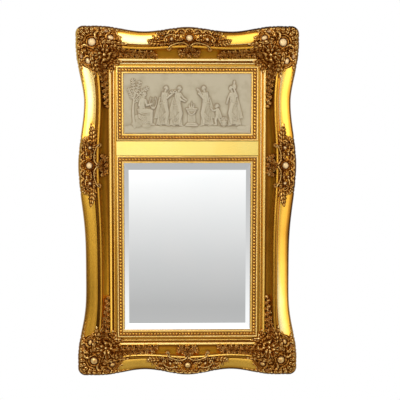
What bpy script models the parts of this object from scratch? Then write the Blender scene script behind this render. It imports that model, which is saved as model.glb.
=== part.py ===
# Gilded wall mirror: a swept frame with cast ornament, a relief plaque above and a
# bevelled mirror plate below, each in a beaded slip, with a flat rail between them.
# Metres, +Z up, front towards -Y. The origin is where the mirror hangs: on the flat back
# of the top rail, midway along it.
#
# Working coordinates: "height" is the distance in front of the flat back, "offset" is the
# distance outward from the slips' inner (sight) edges, and x and z are measured from the
# centre of the two openings together.

import math

import bmesh
import bpy
import numpy as np

# Openings that show
SIGHT_WIDTH = 0.363
MIRROR_SIGHT_HEIGHT = 0.4823
PLAQUE_SIGHT_HEIGHT = 0.171
RAIL_WIDTH = 0.0424
GAP = 0.0003
FIT_CLEARANCE = 0.0005

# Slips
SLIP_WIDTH = 0.020
SLIP_FLANGE = 0.006
SIGHT_FILLET_WIDTH = 0.0044
SIGHT_FILLET_HEIGHT = 0.0132
BEAD_ROW_WIDTH = 0.0092
BEAD_ROW_FLOOR = 0.0116
BEAD_HEIGHT = 0.0157
BEAD_PITCH = 0.009
SLIP_RIM_HEIGHT = 0.0168
CHAMFER = 0.0008

# Swept frame: widths of its mouldings from the inner edge outward, and their heights
STRIP_WIDTH = 0.0042
STRIP_HEIGHT = 0.0140
ASTRAGAL_WIDTH = 0.0056
ASTRAGAL_HEIGHT = 0.0188
QUIRK_WIDTH = 0.0046
QUIRK_HEIGHT = 0.0143
FILLET_WIDTH = 0.0080
FILLET_HEIGHT = 0.0215
FILLET_SLOPE = 0.001
COVE_WIDTH = 0.0182
RIB_WIDTH = 0.0085
RIB_HEIGHT = 0.0485
RIB_ROUND = 0.0035
GROOVE_WIDTH = 0.0052
GROOVE_HEIGHT = 0.0415
BAND_WIDTH = 0.0275
BAND_INNER_HEIGHT = 0.0448
BAND_OUTER_HEIGHT = 0.0395
EDGE_WIDTH = 0.0077
EDGE_HEIGHT = 0.0250
SIDE_UNDERCUT = 0.0025
LIP_BACK_HEIGHT = 0.0096
TOP_RAIL_EXTRA = 0.006

# Serpentine outline: places of its waists and bulges, and how far each bulge stands out
UPPER_WAIST_Z = 0.289
LOWER_WAIST_Z = -0.194
LOWER_WAIST_IN = 0.0018
SIDE_CENTRE_Z = 0.108
UPPER_PEAK_IN = 0.051
LOWER_PEAK_IN = 0.052
SIDE_CORNER_SWELL = 0.023
SIDE_CENTRE_SWELL = 0.0178
END_WAIST_X = 0.122
END_PEAK_IN = 0.0625
TOP_CORNER_SWELL = 0.0157
TOP_CENTRE_SWELL = 0.0125
BOTTOM_CORNER_SWELL = 0.0170
BOTTOM_CENTRE_SWELL = 0.0160
CORNER_RADIUS = 0.023
UPPER_SHARPNESS = 0.85
LOWER_CORNER_SHARPNESS = 2.4
LOWER_CENTRE_SHARPNESS = 1.85
RIB_SWAY = 0.40
GROOVE_SWAY = 0.46
BAND_SWAY = 0.54

# Carving: how far the corner and centre ornaments reach, and how far the leaf trails run
CORNER_SPAN = 0.118
CENTRE_HALF_SPAN = 0.122
TRAIL_REACH = 0.236
CARVING_DEPTH = 0.009
CARVING_MARGIN = 0.0025
SHELL_MOUND_PLACE = 0.076
SHELL_MOUND_REACH = 0.022
SHELL_MOUND_RISE = 0.010

# Plates behind the slips
LAP = 0.006
BACKBOARD_RECESS = 0.001
BACKBOARD_THICKNESS = 0.003
GLASS_THICKNESS = 0.005
GLASS_EDGE = 0.0024
BEVEL_SIDE = 0.020
BEVEL_END = 0.026
PLAQUE_THICKNESS = 0.005
RELIEF_DEPTH = 0.0055
RELIEF_INSET = 0.0012
RELIEF_FADE = 0.004

# Mesh fineness before and after reduction; every so many stations the outline is held
FRAME_PITCH = 0.0030
HELD_STATIONS = 26
PLAQUE_PITCH = 0.0020
FRAME_FACES = 5250
PLAQUE_FACES = 2500

HALF_SIGHT = SIGHT_WIDTH / 2
STACK_HEIGHT = MIRROR_SIGHT_HEIGHT + PLAQUE_SIGHT_HEIGHT + RAIL_WIDTH + 2 * SLIP_WIDTH
HALF_STACK = STACK_HEIGHT / 2
MIRROR_Z = -HALF_STACK + MIRROR_SIGHT_HEIGHT / 2
PLAQUE_Z = HALF_STACK - PLAQUE_SIGHT_HEIGHT / 2
RAIL_Z = -HALF_STACK + MIRROR_SIGHT_HEIGHT + SLIP_WIDTH + RAIL_WIDTH / 2
PLATE_BACK = BACKBOARD_RECESS + BACKBOARD_THICKNESS + GAP
LIP_OFFSET = SLIP_WIDTH + GAP
REBATE_OFFSET = SLIP_WIDTH + SLIP_FLANGE + FIT_CLEARANCE
MOULDING_WIDTHS = (STRIP_WIDTH, ASTRAGAL_WIDTH, QUIRK_WIDTH, FILLET_WIDTH, COVE_WIDTH,
                   RIB_WIDTH, GROOVE_WIDTH, BAND_WIDTH, EDGE_WIDTH)
OUTLINE_OFFSET = LIP_OFFSET + sum(MOULDING_WIDTHS)
COVE_START = LIP_OFFSET + sum(MOULDING_WIDTHS[:4])
OUT_X = HALF_SIGHT + OUTLINE_OFFSET + SIDE_CORNER_SWELL
OUT_TOP = HALF_STACK + OUTLINE_OFFSET + TOP_RAIL_EXTRA + TOP_CORNER_SWELL
OUT_BOTTOM = HALF_STACK + OUTLINE_OFFSET + BOTTOM_CORNER_SWELL
TOP_OUTLINE = HALF_STACK + OUTLINE_OFFSET + TOP_RAIL_EXTRA + TOP_CENTRE_SWELL
HANG_Z = (HALF_STACK + REBATE_OFFSET + TOP_OUTLINE - SIDE_UNDERCUT) / 2


def clear_scene():
    for old in list(bpy.data.objects):
        bpy.data.objects.remove(old, do_unlink=True)


def material(name, colour, roughness, metallic):
    made = bpy.data.materials.new(name)
    made.use_nodes = True
    shader = made.node_tree.nodes["Principled BSDF"]
    shader.inputs["Base Color"].default_value = (*colour, 1.0)
    shader.inputs["Roughness"].default_value = roughness
    shader.inputs["Metallic"].default_value = metallic
    return made


def world(x, height, z):
    return np.stack([x, -height, z - HANG_Z], axis=-1)


def add_object(name, vertices, faces, finish):
    mesh = bpy.data.meshes.new(name)
    mesh.from_pydata([tuple(v) for v in vertices], [], [tuple(f) for f in faces])
    mesh.validate()
    made = bpy.data.objects.new(name, mesh)
    bpy.context.scene.collection.objects.link(made)
    mesh.materials.append(finish)
    work = bmesh.new()
    work.from_mesh(mesh)
    bmesh.ops.recalc_face_normals(work, faces=work.faces)
    if work.calc_volume(signed=True) < 0:
        bmesh.ops.reverse_faces(work, faces=work.faces)
    work.to_mesh(mesh)
    work.free()
    return made


def reduce_faces(made, triangles, held=()):
    """Reduces the mesh to a number of triangles; the held vertices stay where they are."""
    count = sum(len(face.vertices) - 2 for face in made.data.polygons)
    free = made.vertex_groups.new(name="Free")
    free.add(list(range(len(made.data.vertices))), 1.0, "REPLACE")
    free.add(list(held), 0.0, "REPLACE")
    reducer = made.modifiers.new("Reduce", "DECIMATE")
    reducer.ratio = min(1.0, triangles / count)
    reducer.use_collapse_triangulate = True
    reducer.vertex_group = free.name


# Relief shapes. Each returns a height over the points (x, y), and NOTHING outside its form.

NOTHING = -1.0


def curve(start, bend, end, count=12):
    share = np.linspace(0, 1, count)[:, None]
    ends = (1 - share) ** 2 * np.array(start) + share ** 2 * np.array(end)
    return ends + 2 * share * (1 - share) * np.array(bend)


def arc(cx, cy, radius, first, last, count=12, grow=1.0):
    turn = np.radians(np.linspace(first, last, count))
    reach = radius * np.linspace(1.0, grow, count)
    return np.stack([cx + reach * np.cos(turn), cy + reach * np.sin(turn)], axis=-1)


def along(x, y, spine):
    """Share of the way along the spine, and signed distance to its left, of each point."""
    nearest = np.full(x.shape, 1e9)
    share = np.zeros(x.shape)
    side = np.zeros(x.shape)
    steps = len(spine) - 1
    for index in range(steps):
        ax, ay = spine[index]
        dx, dy = spine[index + 1] - spine[index]
        length = math.hypot(dx, dy)
        run = np.clip(((x - ax) * dx + (y - ay) * dy) / length ** 2, 0, 1)
        away = np.hypot(x - ax - run * dx, y - ay - run * dy)
        closer = away < nearest
        nearest = np.where(closer, away, nearest)
        share = np.where(closer, (index + run) / steps, share)
        left = np.sign((y - ay) * dx - (x - ax) * dy)
        side = np.where(closer, left * away, side)
    return share, side


def near(x, y, spine, reach):
    low = spine.min(axis=0) - reach
    high = spine.max(axis=0) + reach
    return (x > low[0]) & (x < high[0]) & (y > low[1]) & (y < high[1])


def over(x, y, spine, reach, form):
    """Height of a form that is a function of the place along a spine and beside it."""
    height = np.full(x.shape, NOTHING)
    close = near(x, y, spine, reach)
    if close.any():
        share, side = along(x[close], y[close], spine)
        height[close] = form(share, side)
    return height


def dome(x, y, cx, cy, rx, ry, height):
    rest = 1 - ((x - cx) / rx) ** 2 - ((y - cy) / ry) ** 2
    return np.where(rest > 0, height * np.sqrt(np.clip(rest, 0, None)), NOTHING)


def ridge(x, y, spine, width, height, taper=0.5):
    """A rounded roll along the spine, thinner towards its end."""
    def form(share, side):
        half = width * (1 - taper * share)
        rest = 1 - (side / half) ** 2
        return np.where(rest > 0, height * np.sqrt(np.clip(rest, 0, None)), NOTHING)
    return over(x, y, spine, width, form)


def leaf(x, y, spine, width, height, lobes):
    """A lobed leaf with a keel along its middle: widest below its middle, pointed at its tip."""
    def form(share, side):
        body = np.sin(math.pi * np.clip(share, 0.02, 1) ** 0.72) ** 0.75
        slant = np.abs(side) / width * 0.5
        lobe = np.abs(np.sin(math.pi * (lobes * share - slant)))
        half = width * body * (0.80 + 0.20 * lobe) + 1e-6
        across = np.abs(side) / half
        rest = (1 - across ** 1.6) * (0.45 + 0.55 * body)
        return np.where(across < 1, height * (0.25 + 0.75 * rest) * (0.85 + 0.15 * lobe), NOTHING)
    return over(x, y, spine, width, form)


def polar(x, y, cx, cy):
    return np.hypot(x - cx, y - cy), np.degrees(np.arctan2(y - cy, x - cx))


def rosette(x, y, cx, cy, inner, outer, petals, height):
    radius, angle = polar(x, y, cx, cy)
    wave = np.abs(np.cos(np.radians(angle * petals / 2)))
    edge = inner + (outer - inner) * (0.45 + 0.55 * wave)
    share = (radius - inner) / (edge - inner)
    inside = (share > 0) & (share < 1)
    body = np.sqrt(np.clip(np.sin(math.pi * np.clip(share, 0, 1)), 0, 1))
    return np.where(inside, height * body * (0.55 + 0.45 * wave), NOTHING)


def fan(x, y, cx, cy, inner, outer, middle, spread, ribs, height):
    """A shell of ribs that spread from a hub about the direction `middle`, in degrees."""
    radius, angle = polar(x, y, cx, cy)
    turn = (angle - middle + 180) % 360 - 180
    wave = np.abs(np.cos(np.radians(turn / spread * 90 * ribs)))
    edge = outer * (1 - 0.16 * (turn / spread) ** 2) * (0.88 + 0.12 * wave)
    share = (radius - inner) / (edge - inner)
    inside = (share > 0) & (share < 1) & (np.abs(turn) < spread)
    body = (0.45 + 0.55 * share) * np.sqrt(np.clip(1 - share ** 6, 0, 1))
    return np.where(inside, height * body * (0.5 + 0.5 * wave), NOTHING)


def highest(shapes):
    top = shapes[0]
    for shape in shapes[1:]:
        top = np.maximum(top, shape)
    return top


# Ornament. Its layout is drawn in millimetres at full size and scaled to the named spans.

DRAWN_CORNER = 118
DRAWN_TRAIL = 236
DRAWN_CENTRE = 122
MM = 1000

def corner_relief(p, q):
    """Corner boss, shell and leaves; p and q run inward from the frame's outer corner."""
    shapes = [dome(p, q, 46, 46, 10, 10, 1.3)]
    shapes.append(rosette(p, q, 46, 46, 11, 21, 9, 0.9))
    shapes.append(fan(p, q, 68, 68, 12, 33, 45, 88, 7, 1.05))
    shapes.append(dome(p, q, 68, 68, 8, 8, 0.95))
    shapes.append(leaf(p, q, curve((98, 98), (114, 114), (134, 134)), 9, 0.8, 3))
    for index in range(9):
        turn = math.radians(225 + (index - 4) * 23)
        straight = 44 / max(abs(math.cos(turn)), abs(math.sin(turn)))
        reach = min(straight, 53)
        root = (46 + 20 * math.cos(turn), 46 + 20 * math.sin(turn))
        tip = (46 + reach * math.cos(turn), 46 + reach * math.sin(turn))
        bend = ((root[0] + tip[0]) / 2, (root[1] + tip[1]) / 2)
        shapes.append(leaf(p, q, curve(root, bend, tip, 3), 8, 0.7, 2))
    for a, b in ((p, q), (q, p)):
        shapes.append(leaf(a, b, curve((92, 64), (114, 62), (140, 82)), 11, 1.0, 4))
        shapes.append(leaf(a, b, curve((72, 50), (98, 42), (128, 56)), 8, 0.9, 3))
        shapes.append(leaf(a, b, curve((92, 88), (108, 102), (126, 94)), 9, 0.75, 3))
        shapes.append(leaf(a, b, curve((104, 98), (118, 110), (124, 124)), 6, 0.65, 2))
        shapes.append(ridge(a, b, arc(60, 28, 13, 120, 400, 16, 0.6), 3.4, 0.85))
        shapes.append(ridge(a, b, arc(104, 84, 13, 150, 380, 16, 0.6), 3.4, 0.9))
    return highest(shapes)


def rim_scroll(a, v, start, length):
    """One C-scroll with a leaf in its hollow, along the outer edge."""
    spine = curve((start, 14), (start + length * 0.45, -3), (start + length, 11))
    shapes = [ridge(a, v, spine, 3.8, 0.65, 0.3)]
    shapes.append(dome(a, v, start + length * 0.92, 11.5, 4.2, 4.2, 0.85))
    shapes.append(leaf(a, v, curve((start + 3, 15), (start + 9, 10), (start + length, 18)), 4.5, 0.6, 2))
    return highest(shapes)


def arm_relief(a, v, w):
    """Ornament that runs from a corner along a rail: a from the corner, v from the outer
    edge inward, w from the cove's foot outward."""
    shapes = []
    for start in (54, 76, 97):
        shapes.append(rim_scroll(a, v, start, 21))
    shapes.append(leaf(a, v, curve((62, 33), (88, 21), (115, 27)), 9, 0.8, 3))
    shapes.append(ridge(a, v, curve((113, 7), (127, 26), (115, 45)), 3.6, 0.7, 0.2))
    shapes.append(dome(a, v, 112, 8, 4.6, 4.6, 0.85))
    shapes.append(dome(a, v, 112, 45, 5.5, 5.5, 0.95))
    stem = curve((104, 24), (165, 2), (236, 9), 16)
    shapes.append(ridge(a, w, stem, 3.2, 0.5, 0.5))
    for index in range(10):
        share = 0.04 + 0.09 * index
        root = stem[int(share * 15)]
        side = 1 if index % 2 == 0 else -0.5
        size = 1 - 0.42 * share
        tip = (root[0] + 27 * size, root[1] + 15 * side * size)
        bend = (root[0] + 9 * size, root[1] + 16 * side * size)
        shapes.append(leaf(a, w, curve(root, bend, tip), 7.5 * size, 0.85 * size, 3))
    shapes.append(leaf(a, w, curve(stem[13], stem[14], stem[15]), 5, 0.5, 2))
    return highest(shapes)


def centre_relief(s, v):
    """Cartouche at the middle of a rail: s along the rail, v from the outer edge inward."""
    s = np.abs(s)
    shapes = [dome(s, v, 0, 35, 8.5, 8.5, 1.3)]
    shapes.append(rosette(s, v, 0, 35, 9.5, 18, 8, 0.85))
    shapes.append(dome(s, v, 34, 31, 6.5, 5, 1.0))
    shapes.append(dome(s, v, 72, 28, 7.5, 5.5, 1.0))
    for middle in (0, 30, 59):
        shapes.append(ridge(s, v, arc(middle, 19, 14, 200, 340), 3.6, 0.7, 0.0))
        shapes.append(fan(s, v, middle, 20, 3, 12, 270, 75, 3, 0.65))
    shapes.append(ridge(s, v, arc(52, 34, 11, 60, 330, 16, 0.7), 3.4, 0.85))
    for root, bend, tip, width in (
        ((16, 43), (28, 50), (48, 40), 6), ((18, 26), (26, 18), (44, 24), 5),
        ((60, 42), (76, 46), (94, 36), 7), ((64, 20), (78, 12), (98, 22), 6),
        ((84, 28), (104, 23), (124, 26), 7), ((40, 44), (56, 50), (72, 46), 5),
    ):
        shapes.append(leaf(s, v, curve(root, bend, tip), width, 0.8, 3))
    shapes.append(ridge(s, v, curve((60, 60), (32, 30), (3, 58), 16), 3.6, 0.95, 0.1))
    shapes.append(dome(s, v, 58, 59, 5.5, 5.5, 1.0))
    for tip_s, tip_v, width in ((0, 95, 8), (17, 91, 7), (27, 79, 6)):
        spine = curve((tip_s * 0.1, 60), (tip_s * 0.45, 60 + (tip_v - 60) * 0.6), (tip_s, tip_v))
        shapes.append(leaf(s, v, spine, width, 0.85, 2))
    return highest(shapes)


# Swept frame

def swell(place, waist, peak, amount, sharpness):
    share = np.clip((place - waist) / (peak - waist), 0, 1)
    return amount * (0.5 - 0.5 * np.cos(math.pi * share)) ** sharpness


def side_sway(z):
    """How far a side rail's outline stands out beyond its waist, at height z."""
    upper = swell(z, UPPER_WAIST_Z, OUT_TOP - UPPER_PEAK_IN, SIDE_CORNER_SWELL, UPPER_SHARPNESS)
    lower = swell(z, LOWER_WAIST_Z, LOWER_PEAK_IN - OUT_BOTTOM,
                  SIDE_CORNER_SWELL + LOWER_WAIST_IN, LOWER_CORNER_SHARPNESS)
    above = swell(z, UPPER_WAIST_Z, SIDE_CENTRE_Z, SIDE_CENTRE_SWELL, 1.0)
    below = swell(z, LOWER_WAIST_Z, SIDE_CENTRE_Z, SIDE_CENTRE_SWELL + LOWER_WAIST_IN,
                  LOWER_CENTRE_SHARPNESS)
    under = np.where(z < LOWER_WAIST_Z, lower, below) - LOWER_WAIST_IN
    over = np.where(z > UPPER_WAIST_Z, upper, above)
    return np.where(z > SIDE_CENTRE_Z, over, under)


def end_sway(x, corner_swell, centre_swell):
    """The same for the top or bottom rail, at distance x from the middle."""
    across = np.abs(x)
    corner = swell(across, END_WAIST_X, OUT_X - END_PEAK_IN, corner_swell, 1.0)
    middle = swell(across, END_WAIST_X, 0.0, centre_swell, 1.0)
    return np.where(across > END_WAIST_X, corner, middle)


def top_sway(x):
    return end_sway(x, TOP_CORNER_SWELL, TOP_CENTRE_SWELL)


def bottom_sway(x):
    return end_sway(x, BOTTOM_CORNER_SWELL, BOTTOM_CENTRE_SWELL)


def moulding():
    """The frame's front section as (offset, height, share of the outline's sway)."""
    edge = LIP_OFFSET
    points = [(edge, STRIP_HEIGHT, 0), (edge + STRIP_WIDTH, STRIP_HEIGHT, 0)]
    edge += STRIP_WIDTH
    for turn in (160, 120, 90, 60, 20):
        x = edge + ASTRAGAL_WIDTH / 2 * (1 + math.cos(math.radians(turn)) * 0.94)
        rise = (ASTRAGAL_HEIGHT - STRIP_HEIGHT) * math.sin(math.radians(turn))
        points.append((x, STRIP_HEIGHT + rise, 0))
    edge += ASTRAGAL_WIDTH
    points.append((edge + QUIRK_WIDTH * 0.2, QUIRK_HEIGHT, 0))
    points.append((edge + QUIRK_WIDTH * 0.85, QUIRK_HEIGHT, 0))
    edge += QUIRK_WIDTH
    points.append((edge, FILLET_HEIGHT - FILLET_SLOPE, 0))
    points.append((edge + FILLET_WIDTH * 0.92, FILLET_HEIGHT, 0))
    edge += FILLET_WIDTH
    for step in range(8):
        turn = math.radians(90 * step / 7)
        across = math.sin(turn)
        rise = (RIB_HEIGHT - RIB_ROUND - FILLET_HEIGHT + FILLET_SLOPE) * (1 - math.cos(turn))
        sway = RIB_SWAY * across ** 1.5
        points.append((edge + COVE_WIDTH * across, FILLET_HEIGHT - FILLET_SLOPE + rise, sway))
    edge += COVE_WIDTH
    for turn in (140, 90, 40):
        x = edge + RIB_WIDTH / 2 * (1 + math.cos(math.radians(turn)))
        points.append((x, RIB_HEIGHT - RIB_ROUND * (1 - math.sin(math.radians(turn))), RIB_SWAY))
    edge += RIB_WIDTH
    points.append((edge + GROOVE_WIDTH * 0.15, GROOVE_HEIGHT, GROOVE_SWAY))
    points.append((edge + GROOVE_WIDTH * 0.75, GROOVE_HEIGHT, GROOVE_SWAY))
    edge += GROOVE_WIDTH
    for step in range(4):
        share = step / 3
        fall = (BAND_INNER_HEIGHT - BAND_OUTER_HEIGHT) * share ** 1.6
        sway = BAND_SWAY + (1 - BAND_SWAY) * share
        points.append((edge + BAND_WIDTH * share, BAND_INNER_HEIGHT - fall, sway))
    edge += BAND_WIDTH
    for turn in (12, 40, 65, 90):
        x = edge + EDGE_WIDTH * math.sin(math.radians(turn))
        drop = (BAND_OUTER_HEIGHT - EDGE_HEIGHT) * (1 - math.cos(math.radians(turn)))
        points.append((x, BAND_OUTER_HEIGHT - drop, 1))
    return points


def refined(points, pitch):
    """The section with further points, so that none of its steps is longer than pitch."""
    fine = [points[0]]
    for first, last in zip(points, points[1:]):
        steps = max(1, math.ceil(math.dist(first[:2], last[:2]) / pitch))
        for step in range(1, steps + 1):
            share = step / steps
            fine.append(tuple(u + (w - u) * share for u, w in zip(first, last)))
    return np.array(fine)


def soft_height(offset):
    """The surface that the ornament lies on: the section with its small steps filled."""
    cove = COVE_START
    rib = cove + COVE_WIDTH
    band = rib + RIB_WIDTH + GROOVE_WIDTH
    places = (LIP_OFFSET, cove - FILLET_WIDTH, cove, cove + COVE_WIDTH * 0.6, rib, rib + RIB_WIDTH,
              band, band + BAND_WIDTH, OUTLINE_OFFSET)
    cove_height = FILLET_HEIGHT + (RIB_HEIGHT - FILLET_HEIGHT) * 0.3
    heights = (STRIP_HEIGHT, FILLET_HEIGHT - 2 * FILLET_SLOPE, FILLET_HEIGHT, cove_height,
               RIB_HEIGHT - RIB_ROUND, RIB_HEIGHT - RIB_ROUND, BAND_INNER_HEIGHT,
               BAND_OUTER_HEIGHT, EDGE_HEIGHT)
    return np.interp(offset, places, heights)


SIDES = (
    (HALF_SIGHT, 0.0, side_sway, SIDE_CORNER_SWELL),
    (HALF_STACK, TOP_RAIL_EXTRA, top_sway, TOP_CORNER_SWELL),
    (HALF_SIGHT, 0.0, side_sway, SIDE_CORNER_SWELL),
    (HALF_STACK, 0.0, bottom_sway, BOTTOM_CORNER_SWELL),
)


def placed(side, a, outward):
    """Place along and outward of a rail, as x and z. Rails go right, top, left, bottom."""
    return ((outward, a), (-a, outward), (-outward, -a), (a, -outward))[side]


def rounded_corner(x, z):
    """Bends the mitred corner of the section's lines into a round one."""
    top = np.where(z > 0, OUT_TOP, OUT_BOTTOM)
    across = np.abs(x) - (OUT_X - CORNER_RADIUS)
    up = np.abs(z) - (top - CORNER_RADIUS)
    inside = (across > 0) & (up > 0)
    longest = np.maximum(across, up)
    shrink = np.where(inside, longest / np.maximum(np.hypot(across, up), 1e-9), 1.0)
    x_new = np.sign(x) * (OUT_X - CORNER_RADIUS + across * shrink)
    z_new = np.sign(z) * (top - CORNER_RADIUS + up * shrink)
    return np.where(inside, x_new, x), np.where(inside, z_new, z)


def rail_grid(side, lines, pitch):
    """Points of one rail from its first mitre up to its last, for every line."""
    base, extra, sway, swelling = SIDES[side]
    before = SIDES[side - 1]
    after = SIDES[(side + 1) % 4]
    offset, share = lines[:, 0][None, :], lines[:, 2][None, :]
    start = -(before[0] + offset + share * (before[1] + before[3]))
    end = after[0] + offset + share * (after[1] + after[3])
    count = math.ceil((end.max() - start.min()) / pitch)
    run = (np.arange(count) / count)[:, None]
    a = start + (end - start) * run
    x_place, z_place = placed(side, a, a * 0)
    outline = extra + sway(z_place if side % 2 == 0 else x_place)
    outward = base + offset + share * outline
    x, z = placed(side, a, outward)
    edge = base + OUTLINE_OFFSET + outline
    return x, z, edge - outward, outward - base - COVE_START


def carving(x, z, side, inward, above_cove):
    """Height of the ornament over the frame's points, as a share of the carving depth."""
    unit = CORNER_SPAN * MM / DRAWN_CORNER
    trail_unit = (TRAIL_REACH - CORNER_SPAN) * MM / (DRAWN_TRAIL - DRAWN_CORNER)
    top = np.where(z > 0, OUT_TOP, OUT_BOTTOM)
    p = (OUT_X - np.abs(x)) * MM / unit
    q = (top - np.abs(z)) * MM / unit
    run = q if side % 2 == 0 else p
    run = np.where(run > DRAWN_CORNER, DRAWN_CORNER + (run - DRAWN_CORNER) * unit / trail_unit, run)
    relief = np.maximum(corner_relief(p, q), arm_relief(run, inward * MM, above_cove * MM))
    middle = z - SIDE_CENTRE_Z if side % 2 == 0 else x
    centre_unit = CENTRE_HALF_SPAN * MM / DRAWN_CENTRE
    relief = np.maximum(relief, centre_relief(middle * MM / centre_unit, inward * MM))
    clear = above_cove > LIP_OFFSET + CARVING_MARGIN - COVE_START
    return np.where(clear, relief, NOTHING)


def shell_mound(x, z):
    """Extra height under each corner's shell, where it bridges the corner of the cove."""
    top = np.where(z > 0, OUT_TOP, OUT_BOTTOM)
    away = np.hypot(OUT_X - np.abs(x) - SHELL_MOUND_PLACE, top - np.abs(z) - SHELL_MOUND_PLACE)
    return SHELL_MOUND_RISE * np.exp(-(away / SHELL_MOUND_REACH) ** 2)


def swept_frame(finish):
    front = refined(moulding(), FRAME_PITCH)
    back = np.array([
        (OUTLINE_OFFSET - SIDE_UNDERCUT, 0.0, 1.0),
        (REBATE_OFFSET, 0.0, 0.0),
        (REBATE_OFFSET, LIP_BACK_HEIGHT, 0.0),
        (LIP_OFFSET, LIP_BACK_HEIGHT, 0.0),
    ])
    lines = np.concatenate([front, back])
    rows = []
    for side in range(4):
        x, z, inward, above_cove = rail_grid(side, lines, FRAME_PITCH)
        height = np.broadcast_to(lines[:, 1], x.shape).copy()
        shown = (slice(None), slice(0, len(front)))
        relief = carving(x[shown], z[shown], side, inward[shown], above_cove[shown])
        ground = soft_height(front[:, 0])[None, :]
        raised = ground + shell_mound(x[shown], z[shown]) + relief * CARVING_DEPTH
        height[shown] = np.where(relief > 0, np.maximum(height[shown], raised), height[shown])
        x, z = rounded_corner(x, z)
        rows.append(world(x, height, z))
    points = np.concatenate(rows)
    stations, across = points.shape[:2]
    index = np.arange(stations * across).reshape(stations, across)
    ahead = np.roll(index, -1, axis=0)
    beside = np.roll(index, -1, axis=1)
    both = np.roll(ahead, -1, axis=1)
    faces = np.stack([index, ahead, both, beside], axis=-1).reshape(-1, 4)
    made = add_object("swept_frame", points.reshape(-1, 3), faces.tolist(), finish)
    held = index[::HELD_STATIONS, len(front) - 1:len(front) + 1]
    reduce_faces(made, FRAME_FACES, held.ravel().tolist())
    return made


# Slips, rail and plates

def ring_corners(half_x, half_z, centre_z, offset, height):
    x = np.array([1, -1, -1, 1]) * (half_x + offset)
    z = np.array([1, 1, -1, -1]) * (half_z + offset) + centre_z
    return world(x, np.full(4, height), z)


def slip(name, sight_height, centre_z, finish):
    """A beaded slip: a mitred ring, with a row of four-sided beads in its channel."""
    channel = (SIGHT_FILLET_WIDTH + CHAMFER, SIGHT_FILLET_WIDTH + CHAMFER + BEAD_ROW_WIDTH)
    section = [
        (channel[1], BEAD_ROW_FLOOR),
        (channel[1] + CHAMFER, SLIP_RIM_HEIGHT - CHAMFER),
        (channel[1] + 2 * CHAMFER, SLIP_RIM_HEIGHT),
        (SLIP_WIDTH - CHAMFER, SLIP_RIM_HEIGHT),
        (SLIP_WIDTH, SLIP_RIM_HEIGHT - CHAMFER),
        (SLIP_WIDTH, LIP_BACK_HEIGHT - GAP),
        (SLIP_WIDTH + SLIP_FLANGE, LIP_BACK_HEIGHT - GAP),
        (SLIP_WIDTH + SLIP_FLANGE, PLATE_BACK),
        (LAP + FIT_CLEARANCE, PLATE_BACK),
        (LAP + FIT_CLEARANCE, LIP_BACK_HEIGHT),
        (0.0, LIP_BACK_HEIGHT),
        (0.0, SIGHT_FILLET_HEIGHT - CHAMFER),
        (CHAMFER / 2, SIGHT_FILLET_HEIGHT),
        (SIGHT_FILLET_WIDTH, SIGHT_FILLET_HEIGHT),
        (channel[0], BEAD_ROW_FLOOR),
    ]
    half_x, half_z = HALF_SIGHT, sight_height / 2
    rings = [ring_corners(half_x, half_z, centre_z, o, h) for o, h in section]
    vertices = [tuple(v) for ring in rings for v in ring]
    faces = []
    last = len(section) - 1
    for k in range(1, last - 1):
        for side in range(4):
            ahead = (side + 1) % 4
            faces.append((4 * k + side, 4 * k + ahead, 4 * k + 4 + ahead, 4 * k + 4 + side))

    def point(first, final, share):
        vertices.append(tuple(np.array(first) + (np.array(final) - np.array(first)) * share))
        return len(vertices) - 1

    def bead(four):
        middle = np.mean([vertices[v] for v in four], axis=0)
        vertices.append((middle[0], -BEAD_HEIGHT, middle[2]))
        for corner in range(4):
            faces.append((four[corner], four[(corner + 1) % 4], len(vertices) - 1))

    rows = []
    for side in range(4):
        ahead = (side + 1) % 4
        outer_ends = (vertices[side], vertices[ahead])
        inner_ends = (vertices[4 * last + side], vertices[4 * last + ahead])
        outer_length = math.dist(*outer_ends)
        inner_length = math.dist(*inner_ends)
        beads = max(2, round(inner_length / BEAD_PITCH))
        margin = (outer_length - inner_length) / 2 / outer_length
        outer = []
        for step in range(beads + 1):
            outer.append(point(*outer_ends, margin + (1 - 2 * margin) * step / beads))
        inner = [4 * last + side]
        inner += [point(*inner_ends, step / beads) for step in range(1, beads)]
        inner.append(4 * last + ahead)
        for step in range(beads):
            bead([outer[step], outer[step + 1], inner[step + 1], inner[step]])
        rows.append(outer)
        for row, ring in (([side] + outer + [ahead], 1), (inner, last - 1)):
            near_end, far_end = 4 * ring + side, 4 * ring + ahead
            half = len(row) // 2
            for step in range(half):
                faces.append((near_end, row[step], row[step + 1]))
            faces.append((near_end, row[half], far_end))
            for step in range(half, len(row) - 1):
                faces.append((far_end, row[step], row[step + 1]))
    for side in range(4):
        bead([side, rows[side][0], 4 * last + side, rows[side - 1][-1]])
    return add_object(name, vertices, faces, finish)


def extruded_bar(name, section, half_length, finish):
    """A bar along X with a section of (z, height) points."""
    count = len(section)
    vertices = []
    for x in (-half_length, half_length):
        for z, height in section:
            vertices.append((x, -height, z - HANG_Z))
    faces = [tuple(range(count)), tuple(range(2 * count - 1, count - 1, -1))]
    for k in range(count):
        ahead = (k + 1) % count
        faces.append((k, ahead, count + ahead, count + k))
    return add_object(name, vertices, faces, finish)


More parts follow.
